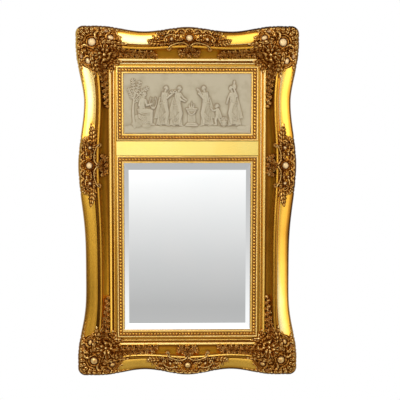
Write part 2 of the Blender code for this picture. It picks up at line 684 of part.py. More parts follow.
def divider_rail(finish):
    """A flat rail on the slips' flanges, with a tongue under the frame's lip at each end."""
    face = RAIL_WIDTH / 2 - GAP
    stem = RAIL_WIDTH / 2 - SLIP_FLANGE - GAP
    section = [
        (RAIL_Z - stem, PLATE_BACK), (RAIL_Z + stem, PLATE_BACK),
        (RAIL_Z + stem, LIP_BACK_HEIGHT), (RAIL_Z + face, LIP_BACK_HEIGHT),
        (RAIL_Z + face, STRIP_HEIGHT - CHAMFER), (RAIL_Z + face - CHAMFER, STRIP_HEIGHT),
        (RAIL_Z - face + CHAMFER, STRIP_HEIGHT), (RAIL_Z - face, STRIP_HEIGHT - CHAMFER),
        (RAIL_Z - face, LIP_BACK_HEIGHT), (RAIL_Z - stem, LIP_BACK_HEIGHT),
    ]
    rail = extruded_bar("divider_rail", section, HALF_SIGHT + LIP_OFFSET - GAP, finish)
    narrow = stem - CHAMFER
    low, high = PLATE_BACK + CHAMFER, LIP_BACK_HEIGHT - GAP
    tongue = extruded_bar("rail_tongue", [
        (RAIL_Z - narrow, low), (RAIL_Z + narrow, low), (RAIL_Z + narrow, high), (RAIL_Z - narrow, high),
    ], HALF_SIGHT + SLIP_WIDTH + SLIP_FLANGE, finish)
    tongue.hide_render = True
    tongue.display_type = "WIRE"
    joined = rail.modifiers.new("Tongue", "BOOLEAN")
    joined.operation = "UNION"
    joined.solver = "EXACT"
    joined.object = tongue
    return rail


def mirror_glass(finish):
    half_x = HALF_SIGHT + LAP
    half_z = MIRROR_SIGHT_HEIGHT / 2 + LAP
    back, edge, front = PLATE_BACK, PLATE_BACK + GLASS_EDGE, PLATE_BACK + GLASS_THICKNESS
    rings = (
        (half_x, half_z, back),
        (half_x, half_z, edge),
        (half_x - BEVEL_SIDE, half_z - BEVEL_END, front),
    )
    vertices = []
    for reach_x, reach_z, height in rings:
        vertices += [tuple(v) for v in ring_corners(reach_x, reach_z, MIRROR_Z, 0.0, height)]
    faces = [(0, 1, 2, 3), (11, 10, 9, 8)]
    for ring in range(2):
        for side in range(4):
            ahead = (side + 1) % 4
            first = 4 * ring
            faces.append((first + side, first + ahead, first + 4 + ahead, first + 4 + side))
    return add_object("mirror_glass", vertices, faces, finish)


def backboard(finish):
    half_x = HALF_SIGHT + REBATE_OFFSET - FIT_CLEARANCE
    half_z = HALF_STACK + REBATE_OFFSET - FIT_CLEARANCE
    heights = (BACKBOARD_RECESS, BACKBOARD_RECESS + BACKBOARD_THICKNESS)
    vertices = []
    for height in heights:
        vertices += [tuple(v) for v in ring_corners(half_x, half_z, 0.0, 0.0, height)]
    faces = [(0, 1, 2, 3), (7, 6, 5, 4)]
    for side in range(4):
        ahead = (side + 1) % 4
        faces.append((side, ahead, 4 + ahead, 4 + side))
    return add_object("backboard", vertices, faces, finish)


# Relief plaque. Its scene is drawn in millimetres from the plaque's centre and scaled to the
# plaque's height. Figures are made of rounded limbs and pleated cloth.

DRAWN_PLAQUE = 171


class Frieze:
    """A height field for figures, in shares of the relief's depth."""

    def __init__(self, x, y):
        self.x = x
        self.y = y
        self.height = np.full(x.shape, NOTHING)

    def add(self, form):
        self.height = np.maximum(self.height, form)

    def dome(self, cx, cy, rx, ry, height):
        self.add(dome(self.x, self.y, cx, cy, rx, ry, height))

    def ridge(self, spine, width, height, taper):
        self.add(ridge(self.x, self.y, spine, width, height, taper))

    def limb(self, first, last, lift=0.0):
        """A rounded, tapering limb between two (x, y, radius) joints."""
        ax, ay, ar = first
        bx, by, br = last
        dx, dy = bx - ax, by - ay
        run = ((self.x - ax) * dx + (self.y - ay) * dy) / max(dx * dx + dy * dy, 1e-6)
        run = np.clip(run, 0, 1)
        radius = ar + (br - ar) * run
        rest = 1 - ((self.x - ax - run * dx) ** 2 + (self.y - ay - run * dy) ** 2) / radius ** 2
        depth = (0.30 + 0.042 * radius) * np.sqrt(np.clip(rest, 0, None)) + lift
        self.add(np.where(rest > 0, depth, NOTHING))

    def chain(self, joints, lift=0.0):
        for first, last in zip(joints, joints[1:]):
            self.limb(first, last, lift)

    def cloth(self, top, bottom, pleats, lift=0.0, depth=0.55):
        """Pleated cloth between a (x, y, half width) at its top and one at its hem."""
        tx, ty, tw = top
        bx, by, bw = bottom
        run = (self.y - ty) / (by - ty)
        half = tw + (bw - tw) * np.clip(run, 0, 1) ** 0.8
        middle = tx + (bx - tx) * run
        across = (self.x - middle) / half
        fold = np.abs(np.cos(math.pi * pleats * (across * 0.5 + 0.12 * np.sin(3 * run))))
        body = np.sqrt(np.clip(1 - across ** 2, 0, None)) * depth * (0.58 + 0.42 * fold)
        inside = (run > 0) & (run < 1) & (np.abs(across) < 1)
        self.add(np.where(inside, body + lift, NOTHING))

    def folds(self, first, last, sag, count, width, height):
        """Folds that hang side by side from `first` to `last`, each a little lower."""
        for index in range(count):
            drop = index * width * 2.2
            start = (first[0], first[1] - drop)
            end = (last[0], last[1] - drop * 0.8)
            bend = ((start[0] + end[0]) / 2, (start[1] + end[1]) / 2 - sag - drop * 0.4)
            self.ridge(curve(start, bend, end, 5), width, height, 0.25)

    def head(self, cx, cy, facing):
        """A head in profile: skull, jaw, and hair with a knot behind."""
        self.dome(cx, cy, 4.8, 5.8, 0.8)
        self.dome(cx + 1.5 * facing, cy - 2.0, 3.5, 4.2, 0.72)
        self.dome(cx - 1.8 * facing, cy + 1.6, 4.9, 4.8, 0.88)
        self.dome(cx - 6.0 * facing, cy + 0.2, 2.6, 2.2, 0.78)


def woman(r, ox, oy, facing, near_arm, far_arm):
    """A woman in a long belted dress and a mantle, walking; facing is 1 or -1. Each arm is an
    elbow and a hand, measured from her feet."""
    r.x = ox + (r.x - ox) * facing
    r.cloth((ox - 9, oy + 82, 4), (ox - 21, oy + 22, 8), 3, 0.05, 0.4)
    r.cloth((ox - 2, oy + 66, 8), (ox - 13, oy + 4, 10), 3, 0.05)
    r.cloth((ox + 1, oy + 68, 9), (ox + 1, oy + 4, 13), 5, 0.14)
    r.chain(((ox + 3, oy + 62, 6.5), (ox + 9, oy + 36, 5.6), (ox + 5, oy + 10, 3.8)), 0.34)
    r.folds((ox + 9, oy + 42), (ox - 12, oy + 20), 5, 2, 2.6, 0.86)
    r.limb((ox + 6, oy + 4, 2.6), (ox + 14, oy + 2, 1.9), 0.1)
    r.limb((ox - 14, oy + 4, 2.4), (ox - 8, oy + 2, 1.8), 0.05)
    arm = [(ox + 2 + dx, oy + dy, size) for dx, dy, size in ((5, 92, 3.6), *far_arm)]
    r.chain(arm, 0.12)
    r.limb((ox, oy + 70, 7.5), (ox + 2, oy + 88, 8.5), 0.22)
    r.dome(ox + 6.5, oy + 86, 4.6, 5, 0.95)
    r.cloth((ox, oy + 74, 8.5), (ox, oy + 58, 11), 4, 0.30, 0.50)
    r.folds((ox + 8, oy + 70), (ox - 11, oy + 64), 4, 1, 2.6, 0.95)
    r.limb((ox + 3, oy + 95, 3.2), (ox + 5, oy + 102, 3.2), 0.1)
    r.head(ox + 7, oy + 107, 1)
    arm = [(ox + dx, oy + dy, size) for dx, dy, size in ((-3, 90, 4.0), *near_arm)]
    r.chain(arm, 0.42)
    r.x = ox + (r.x - ox) * facing


def lyre_player(r, ox, oy):
    """A seated figure on a rock, playing a lyre."""
    for dx, dy, size in ((-20, 4, 15), (-8, 14, 20), (8, 4, 16), (-16, 22, 12)):
        r.dome(ox + dx, oy + dy, size, size * 0.8, 0.42)
    r.cloth((ox - 8, oy + 46, 11), (ox + 10, oy + 6, 17), 5, 0.15)
    r.chain(((ox - 6, oy + 42, 8.5), (ox + 20, oy + 40, 6.5), (ox + 21, oy + 10, 4.2)), 0.35)
    r.folds((ox - 14, oy + 44), (ox + 18, oy + 40), 7, 1, 3.0, 1.0)
    r.folds((ox - 14, oy + 30), (ox + 14, oy + 24), 9, 2, 3.0, 0.8)
    r.limb((ox - 6, oy + 50, 8), (ox - 3, oy + 70, 9), 0.25)
    r.limb((ox - 1, oy + 76, 3.2), (ox + 1, oy + 84, 3.2), 0.1)
    r.head(ox + 3, oy + 89, 1)
    r.chain(((ox + 5, oy + 71, 3.6), (ox + 9, oy + 57, 3.0), (ox + 24, oy + 62, 2.2)), 0.45)
    lx = ox + 27
    for side in (-1, 1):
        horn = curve((lx + 3 * side, oy + 50), (lx + 14 * side, oy + 62), (lx + 6 * side, oy + 80))
        r.ridge(horn, 1.6, 0.8, 0.2)
    r.limb((lx - 7, oy + 75, 1.3), (lx + 7, oy + 75, 1.3), 0.3)
    r.dome(lx, oy + 50, 6, 4.4, 0.95)
    r.chain(((ox - 9, oy + 71, 3.6), (ox - 13, oy + 57, 3.0), (ox + 2, oy + 50, 2.2)), 0.5)
    r.limb((ox + 20, oy + 5, 3.0), (ox + 29, oy + 3, 2.0), 0.1)


def fire_altar(r, ox, oy):
    """A round altar with a garland and a flame."""
    r.cloth((ox, oy + 46, 10.5), (ox, oy + 6, 11.5), 4, 0.05, 0.45)
    for height, half, size in ((3, 15, 3.4), (47, 14.5, 3.0)):
        r.limb((ox - half, oy + height, size), (ox + half, oy + height, size), 0.35)
    r.folds((ox - 10, oy + 40), (ox + 10, oy + 40), 16, 1, 2.6, 0.95)
    for lean, tall in ((-5, 13), (0, 21), (5, 14)):
        bend = (ox + lean * 1.8, oy + 50 + tall * 0.5)
        flame = curve((ox + lean * 0.6, oy + 50), bend, (ox + lean, oy + 50 + tall))
        r.ridge(flame, 3.2, 0.6, 0.9)


def tree(r, ox, oy):
    """A slender tree, with leaves in loose sprays."""
    r.ridge(curve((ox, oy), (ox - 9, oy + 50), (ox + 2, oy + 98)), 4.2, 0.55, 0.55)
    for bend, tip in (((8, 74), (24, 86)), ((-6, 84), (-14, 104)), ((6, 100), (14, 124)),
                      ((16, 98), (34, 108)), ((-2, 110), (-4, 130))):
        root = (ox - 1, oy + 66 + 0.3 * (tip[1] - 80))
        branch = curve(root, (ox + bend[0], oy + bend[1]), (ox + tip[0], oy + tip[1]), 5)
        for place in range(2, 5):
            ahead = branch[place] - branch[place - 1]
            for turn in (-55, 60):
                lean = math.atan2(ahead[1], ahead[0]) + math.radians(turn)
                x, y = branch[place]
                far = (x + 9 * math.cos(lean), y + 9 * math.sin(lean))
                halfway = ((x + far[0]) / 2, (y + far[1]) / 2)
                r.ridge(curve((x, y), halfway, far, 3), 2.6, 0.5, 0.6)


def fruit_basket(r, ox, oy):
    """A basket heaped with fruit."""
    r.limb((ox, oy + 4, 7), (ox, oy + 10, 8.5), 0.1)
    for index in range(7):
        row = index // 4
        r.dome(ox - 8 + 5.2 * (index % 4) + 2.6 * row, oy + 17 + 4 * row, 2.9, 2.9, 0.8)


def child(r, ox, oy, facing):
    """A small child who steps forward with a short tunic blown back."""
    r.x = ox + (r.x - ox) * facing
    r.chain(((ox - 1, oy + 28, 4.6), (ox - 7, oy + 15, 3.6), (ox - 12, oy + 4, 2.4)), 0.05)
    r.chain(((ox + 1, oy + 28, 4.8), (ox + 6, oy + 16, 3.8), (ox + 4, oy + 4, 2.5)), 0.2)
    r.limb((ox + 4, oy + 3, 2.2), (ox + 10, oy + 2, 1.6), 0.1)
    r.cloth((ox, oy + 44, 6), (ox - 3, oy + 22, 10), 3, 0.25, 0.5)
    r.limb((ox, oy + 34, 5.6), (ox + 1, oy + 44, 6), 0.25)
    r.head(ox + 3, oy + 55, 1)
    r.chain(((ox + 4, oy + 44, 2.8), (ox + 12, oy + 42, 2.4), (ox + 19, oy + 49, 1.9)), 0.35)
    r.x = ox + (r.x - ox) * facing


def plaque_scene(x, y):
    """Every figure of the relief over the points, as a share of the relief's depth."""
    r = Frieze(x, y)
    ground_line = -62 + 3 * np.sin(x / 27) + 1.5 * np.sin(x / 9)
    rise = 0.30 * np.sqrt(np.clip((ground_line - y) / 12, 0, 1))
    r.add(np.where(y < ground_line, rise, NOTHING))
    tree(r, -150, -66)
    lyre_player(r, -124, -62)
    woman(r, -66, -63, 1, ((8, 79, 3.2), (22, 90, 2.4)), ((14, 84, 2.8), (24, 92, 2.2)))
    r.limb((-49, 31, 1.6), (-29, 31, 1.6), 0.5)
    for index in range(5):
        r.dome(-47 + 4 * index, 34 + 2.2 * (index % 2), 2.6, 2.6, 0.9)
    woman(r, -28, -64, 1, ((9, 76, 3.2), (21, 70, 2.4)), ((14, 80, 2.8), (24, 74, 2.2)))
    fire_altar(r, 12, -63)
    woman(r, 52, -63, -1, ((6, 78, 3.2), (20, 92, 2.4)), ((13, 92, 2.8), (22, 104, 2.2)))
    r.folds((32, 40), (62, 14), 20, 1, 2.4, 0.95)
    child(r, 86, -62, -1)
    fruit_basket(r, 104, -62)
    woman(r, 130, -63, -1, ((-10, 84, 3.4), (-2, 106, 2.4)), ((12, 78, 2.8), (16, 64, 2.2)))
    r.dome(133, 48, 6.5, 8.5, 0.95)
    r.limb((133, 56, 2.2), (133, 62, 3.0), 0.3)
    return r.height


def relief_plaque(finish):
    half_x = HALF_SIGHT + LAP
    half_z = PLAQUE_SIGHT_HEIGHT / 2 + LAP
    front = PLATE_BACK + PLAQUE_THICKNESS
    inner_x = HALF_SIGHT - RELIEF_INSET
    inner_z = PLAQUE_SIGHT_HEIGHT / 2 - RELIEF_INSET
    count_x = math.ceil(2 * inner_x / PLAQUE_PITCH)
    count_z = math.ceil(2 * inner_z / PLAQUE_PITCH)
    across = np.concatenate([[-half_x], np.linspace(-inner_x, inner_x, count_x + 1), [half_x]])
    up = np.concatenate([[-half_z], np.linspace(-inner_z, inner_z, count_z + 1), [half_z]])
    x, z = np.meshgrid(across, up, indexing="ij")
    unit = PLAQUE_SIGHT_HEIGHT / DRAWN_PLAQUE
    relief = np.clip(plaque_scene(x / unit, z / unit), 0, None) * RELIEF_DEPTH
    margin = np.minimum(inner_x - np.abs(x), inner_z - np.abs(z))
    relief = relief * np.clip(margin / RELIEF_FADE, 0, 1)
    height = front + relief
    top = world(x, height, z + PLAQUE_Z)
    bottom = world(x, np.full(x.shape, PLATE_BACK), z + PLAQUE_Z)
    wide, tall = x.shape
    index = np.arange(wide * tall).reshape(wide, tall)
    around = [index[:-1, :-1], index[1:, :-1], index[1:, 1:], index[:-1, 1:]]
    quads = np.stack(around, axis=-1).reshape(-1, 4)
    rim = list(index[:, 0]) + list(index[-1, 1:]) + list(index[-2::-1, -1]) + list(index[0, -2:0:-1])
    corners = [index[0, 0], index[-1, 0], index[-1, -1], index[0, -1]]
    vertices = top.reshape(-1, 3).tolist()
    low = {}
    for corner in corners:
        low[int(corner)] = len(vertices)
        vertices.append(bottom.reshape(-1, 3)[corner].tolist())
    faces = quads.tolist()
    faces.append([low[int(c)] for c in reversed(corners)])
    place = {int(v): order for order, v in enumerate(rim)}
    for first, last in zip(corners, corners[1:] + corners[:1]):
        begin, stop = place[int(first)], place[int(last)]
        stretch = rim[begin:stop + 1] if stop > begin else rim[begin:] + rim[:1]
        faces.append([int(v) for v in stretch] + [low[int(last)], low[int(first)]])
    made = add_object("relief_plaque", vertices, faces, finish)
    reduce_faces(made, PLAQUE_FACES)
    return made


def build():
    clear_scene()
    gilding = material("Gilding", (0.62, 0.40, 0.13), 0.32, 1.0)
    bright_gilding = material("Bright gilding", (0.86, 0.64, 0.26), 0.25, 1.0)
    plaster = material("Plaster", (0.50, 0.46, 0.36), 0.7, 0.0)
    silvering = material("Mirror", (0.86, 0.88, 0.88), 0.03, 1.0)
    board = material("Board", (0.33, 0.22, 0.12), 0.85, 0.0)
    swept_frame(gilding)
    slip("plaque_slip", PLAQUE_SIGHT_HEIGHT, PLAQUE_Z, bright_gilding)
    slip("mirror_slip", MIRROR_SIGHT_HEIGHT, MIRROR_Z, bright_gilding)
    divider_rail(bright_gilding)
    relief_plaque(plaster)
    mirror_glass(silvering)
    backboard(board)


build()
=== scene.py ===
# The looks of a gilded wall mirror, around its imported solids. Metres, +Z up, front to -Y.
# The frame's four rails, the beaded slips and the relief plaque are finely carved meshes that
# keep the solids' forms. The divider rail, the mirror plate and the board stay as they are,
# with their own finishes.
#
# Working coordinates: "height" is the distance in front of the flat back, "offset" is the
# distance outward from the slips' sight edges, and x and z are measured from the centre of
# the two openings together. Rails go right, top, left, bottom, and a tuple of four values
# gives one for each.

from math import atan2, ceil, cos, degrees, dist, hypot, pi, radians, sin

import bpy
import numpy as np
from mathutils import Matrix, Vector

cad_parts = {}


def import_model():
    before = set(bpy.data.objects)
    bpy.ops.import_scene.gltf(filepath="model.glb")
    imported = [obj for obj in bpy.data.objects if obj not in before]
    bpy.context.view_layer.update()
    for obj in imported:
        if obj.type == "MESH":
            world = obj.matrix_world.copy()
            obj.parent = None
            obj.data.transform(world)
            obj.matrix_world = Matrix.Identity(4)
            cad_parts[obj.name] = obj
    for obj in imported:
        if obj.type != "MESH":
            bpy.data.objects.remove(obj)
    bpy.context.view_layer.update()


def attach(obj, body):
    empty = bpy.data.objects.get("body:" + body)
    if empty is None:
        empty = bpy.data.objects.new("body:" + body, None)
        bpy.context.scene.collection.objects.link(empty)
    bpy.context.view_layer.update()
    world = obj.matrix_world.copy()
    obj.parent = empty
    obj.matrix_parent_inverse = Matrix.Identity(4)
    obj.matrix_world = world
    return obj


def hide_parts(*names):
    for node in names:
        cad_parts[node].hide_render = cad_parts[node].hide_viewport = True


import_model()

# Sizes, as in the solids
SIGHT_WIDTH = 0.363
MIRROR_SIGHT_HEIGHT = 0.4823
PLAQUE_SIGHT_HEIGHT = 0.171
RAIL_WIDTH = 0.0424
GAP = 0.0003
FIT_CLEARANCE = 0.0005
SLIP_WIDTH = 0.020
SLIP_FLANGE = 0.006
SIGHT_FILLET_WIDTH = 0.0044
SIGHT_FILLET_HEIGHT = 0.0132
BEAD_ROW_WIDTH = 0.0092
BEAD_ROW_FLOOR = 0.0116
BEAD_HEIGHT = 0.0157
BEAD_PITCH = 0.009
SLIP_RIM_HEIGHT = 0.0168
CHAMFER = 0.0008
STRIP_WIDTH = 0.0042
STRIP_HEIGHT = 0.0140
ASTRAGAL_WIDTH = 0.0056
ASTRAGAL_HEIGHT = 0.0188
QUIRK_WIDTH = 0.0046
QUIRK_HEIGHT = 0.0143
FILLET_WIDTH = 0.0080
FILLET_HEIGHT = 0.0215
FILLET_SLOPE = 0.001
COVE_WIDTH = 0.0182
RIB_WIDTH = 0.0085
RIB_HEIGHT = 0.0485
RIB_ROUND = 0.0035
GROOVE_WIDTH = 0.0052
GROOVE_HEIGHT = 0.0415
BAND_WIDTH = 0.0275
BAND_INNER_HEIGHT = 0.0448
BAND_OUTER_HEIGHT = 0.0395
EDGE_WIDTH = 0.0077
EDGE_HEIGHT = 0.0250
SIDE_UNDERCUT = 0.0025
LIP_BACK_HEIGHT = 0.0096
TOP_RAIL_EXTRA = 0.006
UPPER_WAIST_Z = 0.289
LOWER_WAIST_Z = -0.194
LOWER_WAIST_IN = 0.0018
SIDE_CENTRE_Z = 0.108
UPPER_PEAK_IN = 0.051
LOWER_PEAK_IN = 0.052
SIDE_CORNER_SWELL = 0.023
SIDE_CENTRE_SWELL = 0.0178
END_WAIST_X = 0.122
END_PEAK_IN = 0.0625
TOP_CORNER_SWELL = 0.0157
TOP_CENTRE_SWELL = 0.0125
BOTTOM_CORNER_SWELL = 0.0170
BOTTOM_CENTRE_SWELL = 0.0160
CORNER_RADIUS = 0.023
UPPER_SHARPNESS = 0.85
LOWER_CORNER_SHARPNESS = 2.4
LOWER_CENTRE_SHARPNESS = 1.85
RIB_SWAY = 0.40
GROOVE_SWAY = 0.46
BAND_SWAY = 0.54
CARVING_DEPTH = 0.009
CARVING_MARGIN = 0.0012
SHELL_MOUND_PLACE = 0.076
SHELL_MOUND_REACH = 0.022
SHELL_MOUND_RISE = 0.010
LAP = 0.006
BACKBOARD_RECESS = 0.001
BACKBOARD_THICKNESS = 0.003
PLAQUE_THICKNESS = 0.005
RELIEF_DEPTH = 0.0055
RELIEF_INSET = 0.0012
RELIEF_FADE = 0.004

# Mesh fineness: across the section, and along the rails where carved, trailed and plain
ACROSS_PITCH = 0.00115
CARVED_PITCH = 0.00125
TRAIL_PITCH = 0.0016
PLAIN_PITCH = 0.005
PLAQUE_PITCH = 0.0009
BEAD_RINGS = 5
BEAD_SIDES = 14

# A bead's half length as a share of its pitch, and its half width as a share of its row
BEAD_HALF_LENGTH = 0.48
BEAD_HALF_WIDTH = 0.45

HALF_SIGHT = SIGHT_WIDTH / 2
STACK_HEIGHT = MIRROR_SIGHT_HEIGHT + PLAQUE_SIGHT_HEIGHT + RAIL_WIDTH + 2 * SLIP_WIDTH
HALF_STACK = STACK_HEIGHT / 2
MIRROR_Z = -HALF_STACK + MIRROR_SIGHT_HEIGHT / 2
PLAQUE_Z = HALF_STACK - PLAQUE_SIGHT_HEIGHT / 2
PLATE_BACK = BACKBOARD_RECESS + BACKBOARD_THICKNESS + GAP
LIP_OFFSET = SLIP_WIDTH + GAP
REBATE_OFFSET = SLIP_WIDTH + SLIP_FLANGE + FIT_CLEARANCE
MOULDING_WIDTHS = (STRIP_WIDTH, ASTRAGAL_WIDTH, QUIRK_WIDTH, FILLET_WIDTH, COVE_WIDTH,
                   RIB_WIDTH, GROOVE_WIDTH, BAND_WIDTH, EDGE_WIDTH)
OUTLINE_OFFSET = LIP_OFFSET + sum(MOULDING_WIDTHS)
COVE_START = LIP_OFFSET + sum(MOULDING_WIDTHS[:4])
BAND_START = COVE_START + COVE_WIDTH + RIB_WIDTH + GROOVE_WIDTH
OUT_X = HALF_SIGHT + OUTLINE_OFFSET + SIDE_CORNER_SWELL
OUT_TOP = HALF_STACK + OUTLINE_OFFSET + TOP_RAIL_EXTRA + TOP_CORNER_SWELL
OUT_BOTTOM = HALF_STACK + OUTLINE_OFFSET + BOTTOM_CORNER_SWELL
TOP_OUTLINE = HALF_STACK + OUTLINE_OFFSET + TOP_RAIL_EXTRA + TOP_CENTRE_SWELL
HANG_Z = (HALF_STACK + REBATE_OFFSET + TOP_OUTLINE - SIDE_UNDERCUT) / 2
CORNER_REACH = 0.135
TRAIL_REACH = 0.240
CENTRE_REACH = 0.130
CENTRE_BODIES = (66, 84, 66, 84)
TOP_CENTRE_X = 0.005
TRAIL_TIPS = (6.0, 8.5, 6.0, 8.5)
LOBE_LENGTH = 0.011
LOBE_NOTCH = 0.0015
LOBE_EDGE = 0.011
CORNER_LOBES = 0.132
CENTRE_LOBES = 0.088
MM = 1000

# Tone of the gold, from 0 in brown hollows to 1 on pale crests: the hollows are patina, the pale
# crests partly wear and partly painted highlight. How far the mean reaches that a height is
# compared with, in grid steps, and the difference that counts as a full one
FINE_REACH = 2
FINE_STEP = 0.00055
BROAD_REACH = 8
BROAD_STEP = 0.0024
CREST_GAIN = 0.60
GROOVE_LOSS = 0.22
BROAD_GAIN = 0.18
MID_TONE = 0.22
PLAIN_HOLLOWS = 0.35
# Tones of the plain mouldings, one for each rail: painted light and shade. Each rail's cove,
# astragal, quirk, fillet, rib, groove and band is lighter or darker as the room's light falls on it.
# The cove's rise towards its rib is painted light; the rib's back and the astragal's foot are painted
# shade.
COVE_TONES = (0.23, 0.29, 0.26, 0.33)
COVE_RISES = (0.24, 0.20, 0.28, 0.52)
STRIP_TONE = 0.50
ASTRAGAL_TONES = (0.90, 1.0, 0.86, 0.95)
ASTRAGAL_FOOT_TONE = 0.45
QUIRK_TONES = (0.60, 0.24, 0.34, 0.40)
FILLET_TONES = (0.90, 0.90, 0.86, 1.0)
RIB_TONES = (0.60, 0.50, 0.55, 0.95)
RIB_BACK_TONE = 0.35
GROOVE_TONES = (0.62, 0.25, 0.24, 0.50)
BAND_INNER_TONES = (1.0, 0.90, 0.62, 0.80)
BAND_OUTER_TONES = (0.64, 0.80, 0.68, 0.90)
# Painted light and shade along each plain band, as (place along the rail, change of tone).
BAND_PAINTED_LIGHT = (
    ((-0.28, 0.20), (-0.18, 0.02), (-0.09, -0.18), (0.05, -0.14), (0.25, -0.08)),
    ((0.00, 0.00), (0.18, -0.20)),
    ((-0.28, -0.05), (-0.05, 0.00), (0.10, 0.08), (0.30, 0.25)),
    ((0.00, 0.00),),
)
HOLLOW_TONE = 0.30
# Tone of a bead from its foot to its top, for rows along x and along z: painted shade at its foot and
# painted highlight on its top.
BEAD_TONES = ((0.50, 0.56), (0.30, 0.76))
# The same painted shade and highlight for the row on top of the plaque.
PLAQUE_TOP_BEAD_TONES = (0.42, 0.68)
# Tone over the slip's rounded rim, from its outer side to its top: painted shade down its outer side,
# pale on its top.
RIM_TONES = (0.02, 0.12, 0.90)
# Painted shade on the band's two outermost steps, for each rail, deepest on the top rail.
RIM_SHADES = (0.80, 0.40, 0.80, 0.80)
# The same painted light and shade along each cove.
COVE_PAINTED_LIGHT = (
    ((-0.30, 0.16), (-0.15, 0.08), (0.00, 0.00), (0.25, -0.05)),
    ((0.00, 0.00),),
    ((-0.30, 0.34), (-0.15, 0.14), (-0.05, 0.04), (0.05, -0.04), (0.25, -0.12)),
    ((0.00, 0.00),),
)
# Tone of the outer edge, for each rail: painted shade, deepest on the top rail.
EDGE_TONES = (0.34, 0.14, 0.48, 0.22)
# Painted shade over the centre carving of the right, top and left rails, and painted light over the
# bottom rail's.
CENTRE_SHADES = (0.06, 0.06, 0.06, -0.03)
# Painted light that grows with height, as change of tone per metre up.
PAINTED_LIGHT_RISE = 0.22
# Share of the cabochons' painted sheen that is kept below the height LOW_CABOCHONS_Z.
LOW_CABOCHONS = 0.20
LOW_CABOCHONS_Z = -0.092


# Meshes

def unit(value):
    """Held between 0 and 1."""
    return np.clip(value, 0, 1)


def world(x, height, z):
    return np.stack([x, -height, z - HANG_Z], axis=-1)


def add_object(name, data):
    made = bpy.data.objects.new(name, data)
    bpy.context.scene.collection.objects.link(made)
    return made


def add_mesh(name, vertices, faces, finish, sharp_angle=None):
    """A new piece from a list of points and of faces."""
    mesh = bpy.data.meshes.new(name)
    mesh.from_pydata(vertices, [], faces)
    mesh.validate()
    if sharp_angle is not None:
        mesh.shade_smooth()
        mesh.set_sharp_from_angle(angle=radians(sharp_angle))
    mesh.materials.append(finish)
    return add_object(name, mesh)


def point_values(made, name, values):
    """Stores one number for each point, which the piece's material reads."""
    attribute = made.data.attributes.new(name, "FLOAT", "POINT")
    attribute.data.foreach_set("value", np.asarray(values, np.float32).ravel())


def grid_faces(index):
    """Quads between neighbouring points of a grid of point numbers."""
    around = [index[:-1, :-1], index[1:, :-1], index[1:, 1:], index[:-1, 1:]]
    return np.stack(around, axis=-1).reshape(-1, 4)


def blurred(field, reach):
    """The mean over a square of 2 * reach + 1 points each way, twice over."""
    for _ in range(2):
        for axis in (0, 1):
            pad = [(0, 0), (0, 0)]
            pad[axis] = (reach + 1, reach)
            total = np.cumsum(np.pad(field, pad, mode="edge"), axis=axis)
            length = field.shape[axis]
            upper = np.take(total, np.arange(2 * reach + 1, 2 * reach + 1 + length), axis=axis)
            lower = np.take(total, np.arange(0, length), axis=axis)
            field = (upper - lower) / (2 * reach + 1)
    return field


def hollow_tone(height):
    """From 0 in hollows to 1 on crests, from two scales of the height field in metres. The dark
    hollows are patina; the pale crests are partly wear and partly painted highlight.
    """
    near_by = np.tanh((height - blurred(height, FINE_REACH)) / FINE_STEP)
    wide = np.tanh((height - blurred(height, BROAD_REACH)) / BROAD_STEP)
    crest = unit(near_by) ** 2
    groove = unit(-near_by)
    tone = MID_TONE + CREST_GAIN * crest - GROOVE_LOSS * groove + BROAD_GAIN * wide
    return unit(tone)


# Relief shapes. Each returns a height over the points (x, y), and NOTHING outside its form.

NOTHING = -1.0


def curve(start, bend, end, count=12):
    share = np.linspace(0, 1, count)[:, None]
    ends = (1 - share) ** 2 * np.array(start) + share ** 2 * np.array(end)
    return ends + 2 * share * (1 - share) * np.array(bend)


def spine_of(line):
    """Points along a line drawn as its two ends, or as its ends with a bend between them."""
    if len(line) == 2:
        return np.linspace(*line, 3)
    return curve(*line) if len(line) == 3 else line


def arc(cx, cy, radius, first, last, count=12, grow=1.0):
    turn = np.radians(np.linspace(first, last, count))
    reach = radius * np.linspace(1.0, grow, count)
    return np.stack([cx + reach * np.cos(turn), cy + reach * np.sin(turn)], axis=-1)


def along(x, y, spine):
    """Share of the way along the spine, and signed distance to its left, of each point."""
    nearest = np.full(x.shape, 1e9)
    share = np.zeros(x.shape)
    side = np.zeros(x.shape)
    steps = len(spine) - 1
    for index in range(steps):
        ax, ay = spine[index]
        dx, dy = spine[index + 1] - spine[index]
        length = hypot(dx, dy)
        run = np.clip(((x - ax) * dx + (y - ay) * dy) / length ** 2, 0, 1)
        away = np.hypot(x - ax - run * dx, y - ay - run * dy)
        closer = away < nearest
        nearest = np.where(closer, away, nearest)
        share = np.where(closer, (index + run) / steps, share)
        left = np.sign((y - ay) * dx - (x - ax) * dy)
        side = np.where(closer, left * away, side)
    return share, side


